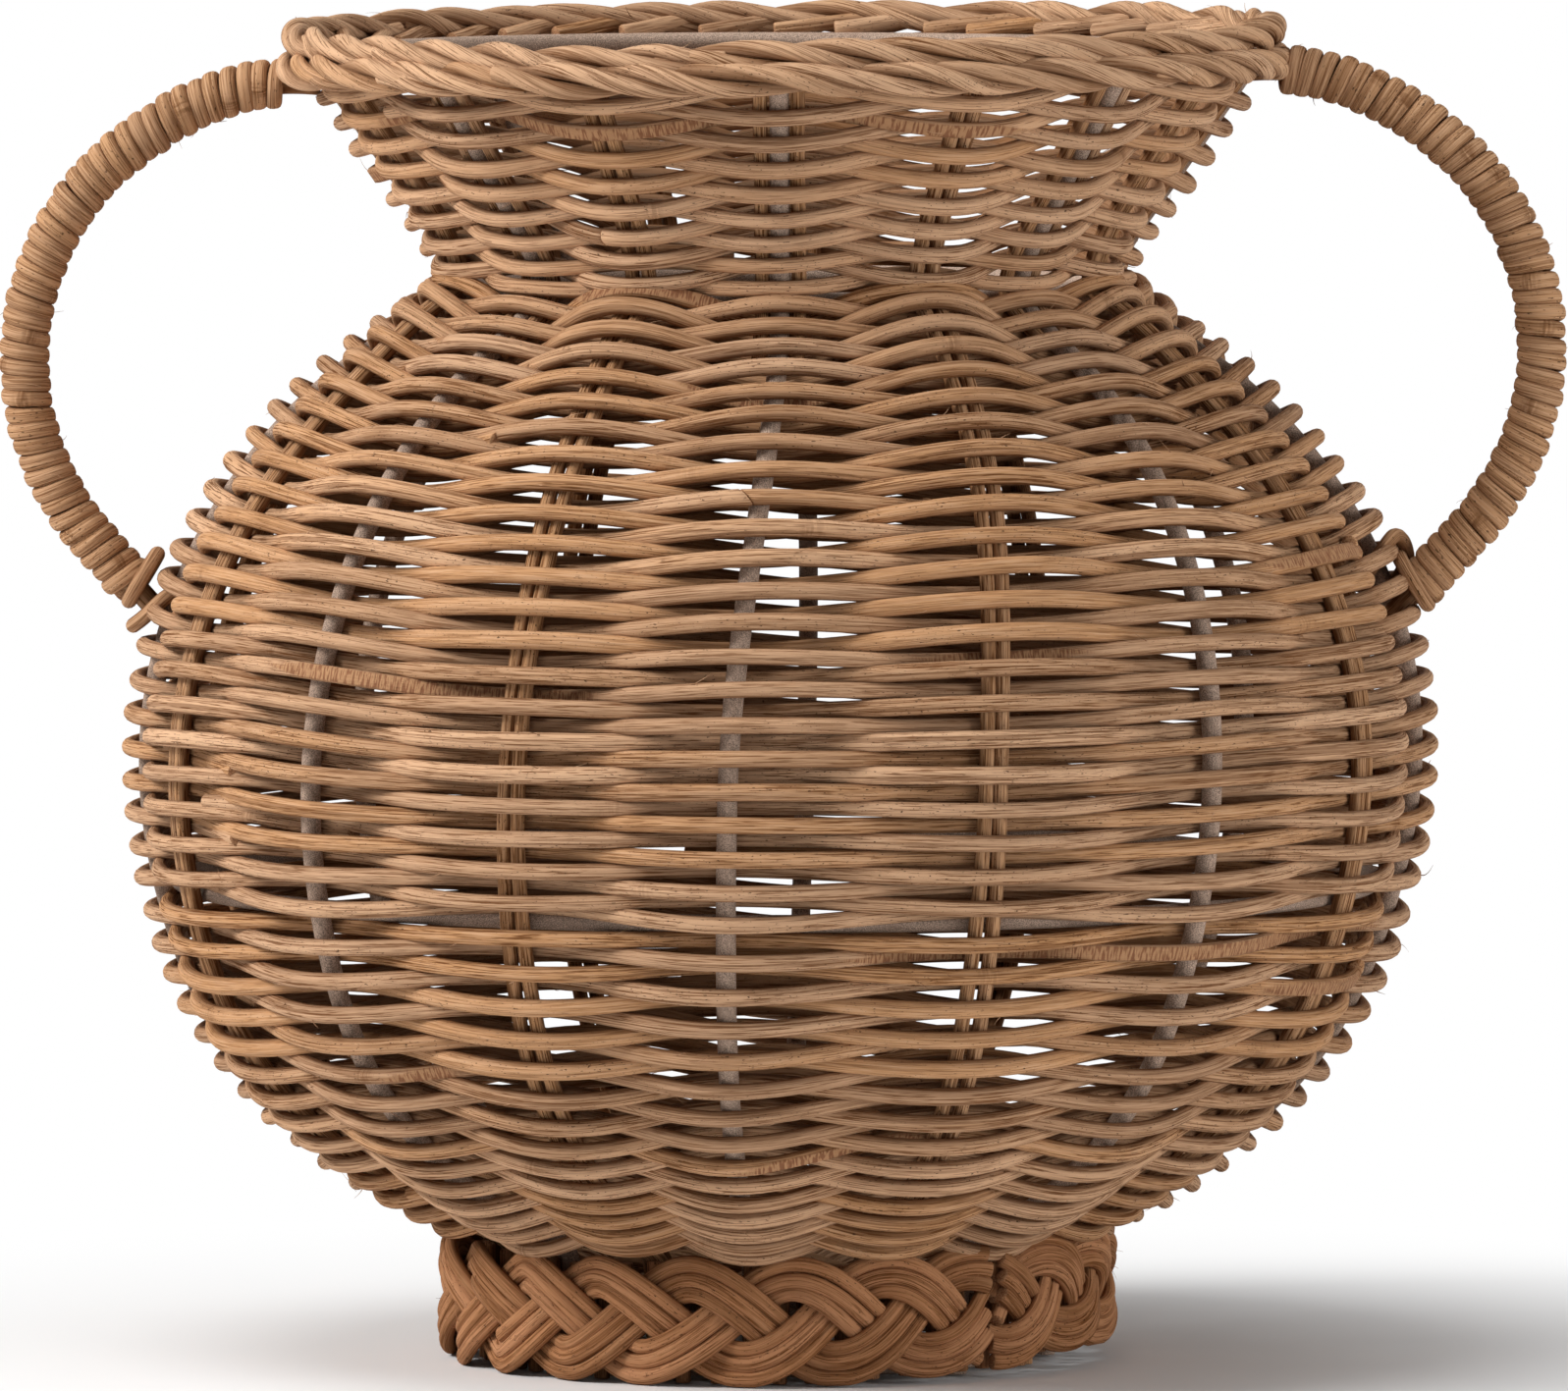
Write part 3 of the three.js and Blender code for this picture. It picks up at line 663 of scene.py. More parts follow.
def painted_steel(vase):
    """Warm grey paint with a fine sandy grain, rubbed in places."""
    found = bpy.data.materials.get("painted_steel")
    if found:
        return found
    finish, tree = new_finish("painted_steel")
    place = attribute(tree, "cane_place")
    sand = noise(place, 3.4, 3.4, 2.0, 0.75)
    cloud = noise(place, 0.25, 0.06, 2.0)
    dark, light = (tuple(k * v for v in vase.colours.steel) for k in (0.5, 1.45))
    body = mix(ramp(sand, 0.38, 0.62), dark, light)
    body = mix(ramp(cloud, 0.55, 0.8) * 0.35, body, vase.colours.fibre)
    bump = add_node(tree, "ShaderNodeBump", None, Strength=0.6, Distance=0.3 * MM, Height=sand)
    rough = 0.6 + 0.2 * sand
    close_finish(tree, Base_Color=body, Roughness=rough, Normal=bump, Specular_IOR_Level=SATIN)
    return finish


# Pieces


def vase_of(context):
    """All settings of the vase in a scene."""
    return context.scene.rattan_vase


def hoop_path(wall, up, inset, steps=192):
    """A ring inside the wall, and the directions out of it."""
    angle = np.arange(steps) * TAU / steps
    point, out, _ = wall.at(np.full(steps, up), angle)
    return point - out * inset, out


def upright_path(wall, place, low, high, shift, steps=150):
    """A line up the wall at an upright, shifted aside, and the directions out of it."""
    up = np.linspace(low, high, steps)
    point, out, aside = wall.at(up, wall.angle(np.full(steps, float(place)), up))
    point = point + out * wall.proud(place, up)[:, None]
    return point + aside * np.broadcast_to(shift, (steps,))[:, None], out


class VASE_OT_steel_frame(Operator):
    """Steel rods and the hoops that they are welded to"""

    bl_idname = "vase.steel_frame"
    bl_label = "Steel frame"

    def execute(self, context):
        vase = vase_of(context)
        wall, steel = Wall(vase), vase.steel
        rods = Canes(np.random.default_rng(SEED + 1))
        for place in range(0, UPRIGHTS, 2):
            path, out = upright_path(wall, place, 0, wall.top, 0)
            rods.add(path, out, steel.rod_diameter / 2)
        names = [f"frame_rod_{i + 1}" for i in range(UPRIGHTS // 2)]
        rods.build("frame_rods", painted_steel(vase), "steel_frame", names)

        hoops = Canes(np.random.default_rng(SEED + 2))
        inset = (steel.rod_diameter + steel.hoop_diameter) / 2
        half = steel.hoop_diameter / 2
        heights = {
            "foot_hoop": wall.length_at(vase.outline.leg_bottom + half),
            "base_hoop": wall.length_at(steel.base_hoop),
            "belly_hoop": wall.length_at(steel.belly_hoop),
            "neck_hoop": wall.length_at(steel.neck_hoop),
            "rim_hoop": wall.top - steel.rim_hoop_drop,
        }
        for up in heights.values():
            path, out = hoop_path(wall, up, inset)
            hoops.add(path, out, half, closed=True)
        hoops.build("frame_hoops", painted_steel(vase), "steel_frame", heights)
        return {"FINISHED"}


class VASE_OT_stakes(Operator):
    """Pairs of upright canes between the rods, and short ones beside the rods in the neck"""

    bl_idname = "vase.stakes"
    bl_label = "Stakes"

    STEPS, NECK_STEPS = 150, 60
    SWAY, NECK_SWAY = (0.35 * MM, 0.4), (0.3 * MM, 0.6)  # wandering aside, and share of a stake it spans
    THICKNESS, NECK_THICKNESS = (0.95, 1.05), (0.92, 1.0)  # spread, as shares of the diameter
    TONE, NECK_TONE, WARMTH, WEAR = 0.5, 0.6, 0.8, 1.0  # most tone, and the warmth and wear of all
    ROD_GAP = 0.2 * MM  # between a rod and the short stakes beside it
    FOOT_SPREAD = (-8, 4)  # millimetres by which the short stakes begin lower or higher

    def execute(self, context):
        vase = vase_of(context)
        wall, steel = Wall(vase), vase.steel
        rng = np.random.default_rng(SEED + 3)
        radius = steel.stake_diameter / 2
        names, stakes = [], Canes(rng)
        for i in range(UPRIGHTS // 2):
            for letter, side in (("a", -1), ("b", 1)):
                sway = waver(rng, np.linspace(0, 1, self.STEPS), *self.SWAY)
                shift = side * steel.stake_spacing / 2 + sway
                path, out = upright_path(wall, 2 * i + 1, 0, wall.top, shift, self.STEPS)
                size = radius * rng.uniform(*self.THICKNESS)
                stakes.add(path, out, size, kind=(rng.uniform(0, self.TONE), self.WARMTH, self.WEAR))
                names.append(f"stake_{i + 1}{letter}")
        stakes.build("stakes", rattan(vase), "rattan_weave", names)

        short = Canes(rng)
        foot = wall.length_at(steel.neck_stake_foot)
        beside = steel.rod_diameter / 2 + radius + self.ROD_GAP
        for place in range(0, UPRIGHTS, 2):
            for side in (-1, 1):
                shift = side * beside + waver(rng, np.linspace(0, 1, self.NECK_STEPS), *self.NECK_SWAY)
                low = foot + rng.uniform(*self.FOOT_SPREAD) * MM
                path, out = upright_path(wall, place, low, wall.top, shift, self.NECK_STEPS)
                size = radius * rng.uniform(*self.NECK_THICKNESS)
                short.add(path, out, size, kind=(rng.uniform(0, self.NECK_TONE), self.WARMTH, self.WEAR))
        short.build("neck_stakes", rattan(vase), "rattan_weave", replaces=())
        return {"FINISHED"}


FIBRE_LENGTH, FIBRE_RADIUS = (1.5, 6.5), (0.07, 0.16)  # spread in millimetres
FIBRE_TAPER = (1.15, 0.9)  # thickness at the root and what is lost along it, as shares of the radius
FIBRE_RISE, FIBRE_BEND = (0.1, 0.8), (-0.2, 0.5)  # slope off the cane, and bend back towards it
FIBRE_CURL = 0.35  # spread of the bend aside
FIBRE_STEPS = 6
FIBRE_KIND = (0.9, 0.6, 0.0)  # tone, warmth and wear
FIBRE_MARGIN = 4  # sections at the ends of a cane that have no loose fibre
FIBRE_ROOT = 0.98  # share of a cane's radius at which a loose fibre springs from it


def add_fibre(canes, rng, start, ahead, away):
    """A hair of loose fibre that springs from a cane and curls."""
    span = rng.uniform(*FIBRE_LENGTH) * MM
    t = np.linspace(0, 1, FIBRE_STEPS)[:, None]
    rise = rng.uniform(*FIBRE_RISE)
    curl = np.cross(ahead, away) * rng.normal(0, FIBRE_CURL) - away * rng.uniform(*FIBRE_BEND)
    path = start + span * (unit(ahead + rise * away) * t + curl * t * t)
    thin = rng.uniform(*FIBRE_RADIUS) * MM * (FIBRE_TAPER[0] - FIBRE_TAPER[1] * t[:, 0])
    canes.add(path, np.cross(ahead, away), thin, kind=FIBRE_KIND)


def add_fibres(canes, rng, count, shown, path, out, size, root=FIBRE_ROOT):
    """Loose fibres on the outer side of a cane, at some of its sections that show."""
    size = np.broadcast_to(size, len(path))
    for index in rng.choice(shown[FIBRE_MARGIN:-FIBRE_MARGIN], count, replace=False):
        ahead = unit(path[index + 1] - path[index])
        add_fibre(canes, rng, path[index] + out[index] * size[index] * root, ahead, out[index])


class Weave:
    """Rows of the weave: where each weaver runs, and the canes it is made of."""

    STEPS, LEAST_STEPS = 14, 8  # sections from one upright to the next, and of the shortest cane
    FIBRE_SIDES = 5
    OVERLAP = 0.42  # share of a gap by which two cane ends lie side by side
    CANE_SPAN = (22, 42)  # gaps that one cane runs through
    RUN_ON = 1.5  # gaps by which the two ends of a weaver run on beside its next round
    BUTT_SHARE = 0.35  # share of the joints whose ends butt on the outside
    BUTT_GAP = 0.006  # share of a gap that each of two butting ends keeps from the other
    JOINT_SPREAD, SLANT = 0.25, 0.9  # most gaps by which a joint lies aside, and most slant of its ends
    TUCK, TUCK_SPAN = 0.95, 0.9  # radii by which an end moves aside, and gaps over which it does
    TOP_ROOM = 0.75  # share of a roll's thickness that the rows leave free below the tops of the uprights
    THICKNESS = (0.92, 1.05)  # spread, as shares of the diameter
    UNEVEN = (0.03, 9)  # share by which a cane's thickness varies, and gaps over which it does
    LOOSE = (0.05, 3)  # share by which it lies looser or tighter, and gaps over which it does
    WANDER_SPAN = 2.2  # gaps over which it wanders up and down
    SPLIT_SHARE = 0.22  # share of the canes that have a flat torn stretch
    SPLIT_DEPTH, SPLIT_EDGE = 0.62, 0.25  # share of the radius cut off a split, and gaps over which it starts
    TORN_DEPTH, TORN_EDGE = (0.35, 0.6), 0.3  # the same for a torn stretch
    TORN_HALF = (0.5, 1.6)  # gaps from its middle to its ends
    FIRST_SCAR, SCAR_PITCH = (2, 9), (7, 12)  # gaps to the first leaf scar of a cane, and between its scars
    SCAR_HALF, SCAR_DEPTH = 0.03, (0.3, 1)  # half width of a scar in gaps, and spread of its strength
    FRAY_PITCH = 28  # sections of a cane for each of its loose fibres
    FRAY_SHOWN, FRAY_TILT = -0.2, 1.3  # least swing where they stand, and most radians off the outer side
    PALE = {"lower": 0.0, "belly": 0.0, "neck": 0.45}  # least tone of a cane
    # Flat faces of split canes on the front: places from and to, and height on the wall
    SPLITS = (
        (9.3, 13.4, 347), (10.5, 11.6, 296), (9.6, 10.7, 284), (12.7, 13.4, 204), (9.8, 11.4, 196),
        (11.5, 12.4, 275), (10.2, 11.0, 92), (12.0, 13.0, 70),
    )

    def __init__(self, vase):
        self.vase, self.wall, self.rows = vase, Wall(vase), vase.weave
        self.drift = Drift(np.random.default_rng(SEED + 4))
        self.fibres = Canes(np.random.default_rng(SEED + 9), self.FIBRE_SIDES)
        wall, steel, rows = self.wall, vase.steel, vase.weave
        belly, neck = wall.length_at(steel.belly_hoop), wall.length_at(steel.neck_hoop)
        top = wall.top - self.TOP_ROOM * vase.border.roll_diameter - rows.cane_diameter / 2
        self.hoops = ((belly, rows.hoop_slot, rows.hoop_give), (neck, rows.neck_slot, rows.neck_give))
        self.stretches = {
            "lower": (wall.length_at(rows.bottom), belly - rows.hoop_slot),
            "belly": (belly + rows.hoop_slot, neck - rows.neck_slot),
            "neck": (neck + rows.neck_slot, top),
        }

    def rounds(self, stretch):
        """Rounds of each weaver that fit into a stretch."""
        low, high = self.stretches[stretch]
        pitch = self.rows.neck_pitch if stretch == "neck" else self.rows.row_pitch
        return math.floor((high - low + pitch) / (2 * pitch))

    def give(self, up):
        """How far rows keep off the hoops where they pass inside."""
        total = np.zeros_like(up)
        for hoop, slot, give in self.hoops:
            off = up - hoop
            near = np.exp(-np.maximum(0, np.abs(off) - slot) / self.rows.row_pitch)
            total = total + np.sign(off) * give * near
        return total

    def line(self, stretch, strand, place):
        """Along a weaver, at places counted from the seam: length up the wall, angle round it, swing from
        outside (1) to inside (-1), and half the thickness of the uprights."""
        low, high = self.stretches[stretch]
        rounds = self.rounds(stretch)
        turn = np.floor(place / UPRIGHTS)
        climb = ease((place - turn * UPRIGHTS - UPRIGHTS + CLIMB_GAPS) / CLIMB_GAPS)
        row = np.clip(2 * (turn + climb), 0, 2 * (rounds - 1)) + strand
        up = low + row * (high - low) / (2 * rounds - 1)
        swing = np.cos(math.pi * (place + strand))
        up = up + self.give(up) * (1 - swing) / 2
        angle = self.wall.angle(place + SEAM_PLACE, up)
        up = up + self.rows.tilt * np.sin(angle) * np.sin(math.pi * np.clip((up - low) / (high - low), 0, 1))
        up = up + self.rows.drift * self.drift.at(angle, up)
        rod, stake = self.vase.steel.rod_diameter, self.vase.steel.stake_diameter
        thick = (rod + stake) / 4 + (rod - stake) / 4 * np.cos(math.pi * place)
        return up, angle, swing, thick

    def split_at(self, place, up):
        """Share of the radius at which the canes are cut flat."""
        flat = np.full(len(place), Canes.ROUND)
        half = self.rows.row_pitch / 2
        around = np.mod(place + SEAM_PLACE, UPRIGHTS)
        for first, last, height in self.SPLITS:
            level = self.wall.length_at(height * MM)
            near = (np.abs(up - level) < half) & (around > first) & (around < last)
            edge = np.minimum(around - first, last - around) / self.SPLIT_EDGE
            flat = np.where(near, 1 - self.SPLIT_DEPTH * ease(edge), flat)
        return flat

    def cane(self, canes, rng, stretch, strand, low, high, tucks, scarf):
        """One cane from place to place. tucks say to which side its ends move, to lie beside others."""
        place = np.linspace(low, high, max(self.LEAST_STEPS, int((high - low) * self.STEPS)))
        up, angle, swing, thick = self.line(stretch, strand, place)
        radius = self.rows.cane_diameter / 2 * rng.uniform(*self.THICKNESS)
        radius = radius * (1 + waver(rng, place, *self.UNEVEN))
        up = up + waver(rng, place, self.rows.wander, self.WANDER_SPAN)
        for tuck, distance in zip(tucks, (place - low, high - place)):
            up = up + tuck * self.TUCK * radius * (1 - ease(distance / self.TUCK_SPAN))
        point, out, _ = self.wall.at(up, angle)
        lift = (thick + radius) * swing * (1 + waver(rng, place, *self.LOOSE))
        lift = lift + self.wall.proud(place + SEAM_PLACE, up)
        flat = self.split_at(place, up)
        if rng.uniform() < self.SPLIT_SHARE:
            centre = rng.uniform(low, high)
            edge = (rng.uniform(*self.TORN_HALF) - np.abs(place - centre)) / self.TORN_EDGE
            torn = 1 - rng.uniform(*self.TORN_DEPTH) * ease(edge)
            flat = np.minimum(flat, np.where(edge > 0, torn, Canes.ROUND))
        path = point + out * lift[:, None]
        kind = rng.uniform((self.PALE[stretch], 0, 0), 1)
        canes.add(path, out, radius, flat=flat, kind=kind, knots=self.knots(rng, place), scarf=scarf)
        self.fray(rng, path, out, radius, swing)

    def knots(self, rng, place):
        """Scars of leaf nodes, every few gaps along a cane."""
        scars = np.zeros(len(place))
        first = place[0] + rng.uniform(*self.FIRST_SCAR)
        for centre in np.arange(first, place[-1], rng.uniform(*self.SCAR_PITCH)):
            scars = np.maximum(scars, np.exp(-(((place - centre) / self.SCAR_HALF) ** 2)))
        return scars * rng.uniform(*self.SCAR_DEPTH)

    def fray(self, rng, path, out, radius, swing):
        """Loose fibres that stand off a cane where it shows."""
        shown = np.flatnonzero(swing > self.FRAY_SHOWN)[FIBRE_MARGIN:-FIBRE_MARGIN]
        count = min(len(shown), rng.poisson(len(path) / self.FRAY_PITCH))
        for index in rng.choice(shown, count, replace=False):
            ahead = unit(path[index + 1] - path[index - 1])
            rise = np.cross(ahead, out[index])
            tilt = rng.uniform(-self.FRAY_TILT, self.FRAY_TILT)
            away = out[index] * math.cos(tilt) + rise * math.sin(tilt)
            start = path[index] + away * radius[index] * FIBRE_ROOT
            add_fibre(self.fibres, rng, start, ahead * rng.choice((-1, 1)), away)

    def piece(self, stretch, strand, part):
        """All canes of one length of a weaver."""
        name = f"weaver_{'ab'[strand]}_{stretch}_{part + 1}"
        rng = np.random.default_rng([SEED, strand, part, len(stretch)])
        canes = Canes(rng)
        rounds, count = self.rounds(stretch), WEAVER_LENGTHS[stretch]
        first, last = (round(rounds * k / count) for k in (part, part + 1))
        end = last * UPRIGHTS - (CLIMB_GAPS - self.RUN_ON if last == rounds else 0)
        joints = [(first * UPRIGHTS - (0 if first else self.RUN_ON), 0.0, 0.0)]
        while joints[-1][0] + self.CANE_SPAN[1] < end:
            place = round(joints[-1][0] + rng.uniform(*self.CANE_SPAN))
            butts = rng.uniform() < self.BUTT_SHARE
            place += (place + strand + (0 if butts else 1)) % 2
            place += rng.uniform(-self.JOINT_SPREAD, self.JOINT_SPREAD)
            joints.append((place, 0.0 if butts else 1.0, rng.uniform(-self.SLANT, self.SLANT)))
        joints.append((end, 0.0, 0.0))
        for (low, low_tuck, low_slant), (high, high_tuck, high_slant) in zip(joints, joints[1:]):
            low += self.BUTT_GAP - self.OVERLAP * low_tuck
            high += self.OVERLAP * high_tuck - self.BUTT_GAP
            self.cane(canes, rng, stretch, strand, low, high, (low_tuck, -high_tuck), (low_slant, high_slant))
        canes.build(name, rattan(self.vase), "rattan_weave")


class VASE_OT_weavers(Operator):
    """The two weavers that pass over one upright and under the next, and their loose fibres"""

    bl_idname = "vase.weavers"
    bl_label = "Weavers"

    def execute(self, context):
        vase = vase_of(context)
        weave = Weave(vase)
        for stretch, count in WEAVER_LENGTHS.items():
            for part in range(count):
                for strand in (0, 1):
                    weave.piece(stretch, strand, part)
        weave.fibres.build("weave_fibres", rattan(vase), "rattan_weave", replaces=())
        return {"FINISHED"}


def node_ring(node):
    """Radius and height of the middle of a ring-shaped node, and its half thickness."""
    low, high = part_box(node)
    half = (high.z - low.z) / 2
    return high.x - half, (high.z + low.z) / 2, half


class VASE_OT_border(Operator):
    """Twisted rolls of cane round the rim, and the cane ends inside it"""

    bl_idname = "vase.border"
    bl_label = "Rim border"

    RISE = {LOWER_ROLL: 1.6 * MM, UPPER_ROLL: 0.9 * MM}  # by which a roll lies higher than its node
    START = {LOWER_ROLL: 0.3, UPPER_ROLL: 1.1}  # radians in the twist at which a roll begins
    TILT = 1.1 * MM  # by which the rim is higher at the right than in the middle
    RUNS = 3  # canes laid end to end in each strand of a roll
    STEPS, LEAST_STEPS = 520, 12  # sections round the rim, and of the shortest cane
    SIDES = 16
    SLACK = (0.5, 0.8)  # radians in the twist by which a cane lags or leads, and round the rim that it spans
    LOOSE = (0.16, 0.6)  # share by which it lies further out or in within its roll, and radians
    WANDER = (0.4 * MM, 1.4)  # by which it wanders out and in with its roll, and radians
    UNEVEN = (0.03, 0.5)  # share by which its thickness varies, and radians
    CORE = 0.1  # share of its reach that is left where an end has dived into the roll
    DROP, INSET = 2.5 * MM, 1.4 * MM  # by which the upper roll lies lower and further in round the front
    SAG = 1.7 * MM  # by which it hangs lower still at one place
    SAG_ANGLE, SAG_SPAN = math.radians(-113), math.radians(15)
    RUN_IN, RUN_OUT = 0.09, 0.05  # radians by which a cane begins earlier and ends later than its joints
    DIVE = 0.15  # radians over which its ends dive into the roll
    OUTSIDE = 0.7  # radians in the twist from a blunt end to the outermost place
    # The least tone makes the rim's canes paler: partly their own tone, partly a painted highlight for the
    # stronger light from above on the rim
    THICKNESS, PALE, FIBRES = (0.94, 1.05), 0.4, 6  # spread of thickness, least tone, and fibres of a cane
    TAIL_STEPS, TAIL_SPREAD = 24, 0.25  # sections of a cut end, and share of the spacing by which it is off
    TAIL_IN, TAIL_DOWN = 1.5, 1.0  # radii by which a cut end begins inside the roll and below its middle
    TAIL_OUT, TAIL_UP = 3.4, 1.4  # radii by which it runs out and up from there
    TAIL_OFF_OUT, TAIL_OFF_UP = (-0.5, 0.3), (-0.8, 0.5)  # millimetres by which it is off
    TAIL_LENGTH, TAIL_THICKNESS = (0.85, 1.1), (0.88, 1.0)  # spread, as shares
    # Blunt ends that show: roll, degrees round the rim, and whether the cane ends (1) or begins (0) there
    ENDS = (
        (LOWER_ROLL, -112.7, 0), (LOWER_ROLL, -24, 1), (LOWER_ROLL, -31, 1),
        (UPPER_ROLL, -27, 1), (UPPER_ROLL, -35, 1),
    )

    def execute(self, context):
        vase = vase_of(context)
        border = vase.border
        rng = np.random.default_rng(SEED + 5)
        for row, start in self.START.items():
            canes = Canes(rng, self.SIDES)
            radius, z, _ = node_ring(row)
            twists = round(TAU * radius / border.lay)
            ends = [(math.radians(angle), side) for name, angle, side in self.ENDS if name == row]
            for strand in range(border.strands):
                phase = start + strand * TAU / border.strands
                low = rng.uniform(0, TAU)
                shown = ends[strand] if strand < len(ends) else None
                if shown:
                    low = self.outer_angle(phase, twists, *shown)
                joints = low + np.arange(self.RUNS + 1) * TAU / self.RUNS
                for k in range(self.RUNS):
                    blunt = (
                        k == 0 and shown and shown[1] == 0,
                        k == self.RUNS - 1 and shown and shown[1] == 1,
                    )
                    ring = (radius, z + self.RISE[row], twists, row == UPPER_ROLL)
                    self.run(vase, canes, rng, ring, phase, joints[k], joints[k + 1], blunt)
            canes.build(row, rattan(vase), "rattan_border")
        self.tails(vase, rng)
        return {"FINISHED"}

    def outer_angle(self, phase, twists, angle, ends):
        """The angle nearest to the given one at which a strand lies outside, rising or going under."""
        wanted = -self.OUTSIDE if ends else self.OUTSIDE
        turns = round((phase - twists * angle - wanted) / TAU)
        return (phase - wanted - turns * TAU) / twists

    def run(self, vase, canes, rng, ring, phase, low, high, blunt):
        """One cane of a roll. Its ends dive into the roll, apart from a blunt one, which stays outside."""
        radius, z, twists, upper = ring
        low, high = low - (0 if blunt[0] else self.RUN_IN), high + (0 if blunt[1] else self.RUN_OUT)
        steps = int(self.STEPS * (high - low) / TAU) + self.LEAST_STEPS
        angle = np.linspace(low, high, steps)
        turn = phase - twists * angle + waver(rng, angle, *self.SLACK)
        thin = vase.border.cane_diameter / 2
        size = thin * rng.uniform(*self.THICKNESS)
        begin = np.ones(steps) if blunt[0] else ease((angle - low) / self.DIVE)
        end = np.ones(steps) if blunt[1] else ease((high - angle) / self.DIVE)
        reach = (vase.border.roll_diameter / 2 - thin) * (self.CORE + (1 - self.CORE) * begin * end)
        reach = reach * (1 + waver(rng, angle, *self.LOOSE))
        away = np.stack([np.cos(turn), np.sin(turn)], -1)
        inward, down = self.settled(angle) if upper else (0, 0)
        r = radius - inward + reach * away[:, 0] + waver(rng, angle, *self.WANDER)
        path = self.leaning(vase, round_axis(r, angle, z - down + reach * away[:, 1]), angle)
        out = round_axis(away[:, 0], angle, away[:, 1])
        uneven = size * (1 + waver(rng, angle, *self.UNEVEN))
        canes.add(path, out, uneven, kind=rng.uniform((self.PALE, 0, 0), 1))
        add_fibres(canes, rng, self.FIBRES, np.arange(steps), path, out, size)

    def settled(self, angle):
        """How far the upper roll lies further in and lower than its ring, which it does round the front."""
        front = ease(-2 * np.sin(angle))
        near = np.exp((np.cos(angle - self.SAG_ANGLE) - 1) * 2 / self.SAG_SPAN ** 2)
        return self.INSET * front, self.DROP * front + self.SAG * near

    def tails(self, vase, rng):
        """Cut ends of the border's canes, laid along the inside of the rim, each tucked under the next."""
        canes = Canes(rng)
        radius, z, _ = node_ring(UPPER_ROLL)
        border = vase.border
        thin = border.cane_diameter / 2
        inside = radius - border.roll_diameter / 2
        t = np.linspace(0, 1, self.TAIL_STEPS)
        for i in range(border.tail_count):
            begin = (i + rng.uniform(-self.TAIL_SPREAD, self.TAIL_SPREAD)) * TAU / border.tail_count
            angle = begin - border.tail_length * rng.uniform(*self.TAIL_LENGTH) / radius * t
            inward, down = self.settled(angle)
            r = inside - inward - self.TAIL_IN * thin + rng.uniform(*self.TAIL_OFF_OUT) * MM
            r = r + self.TAIL_OUT * thin * ease(t)
            height = z - down - self.TAIL_DOWN * thin + rng.uniform(*self.TAIL_OFF_UP) * MM
            height = height + self.TAIL_UP * thin * t
            path = self.leaning(vase, round_axis(r, angle, height), angle)
            canes.add(path, -round_axis(1.0, angle, 0.0), thin * rng.uniform(*self.TAIL_THICKNESS))
        canes.build("border_tails", rattan(vase), "rattan_border", replaces=())

    def leaning(self, vase, path, angle):
        """A path on the rim, which leans with the neck and is a little higher at the right."""
        shift = np.stack(np.broadcast_arrays(vase.outline.sway, 0.0, self.TILT * np.cos(angle)), -1)
        return path + shift


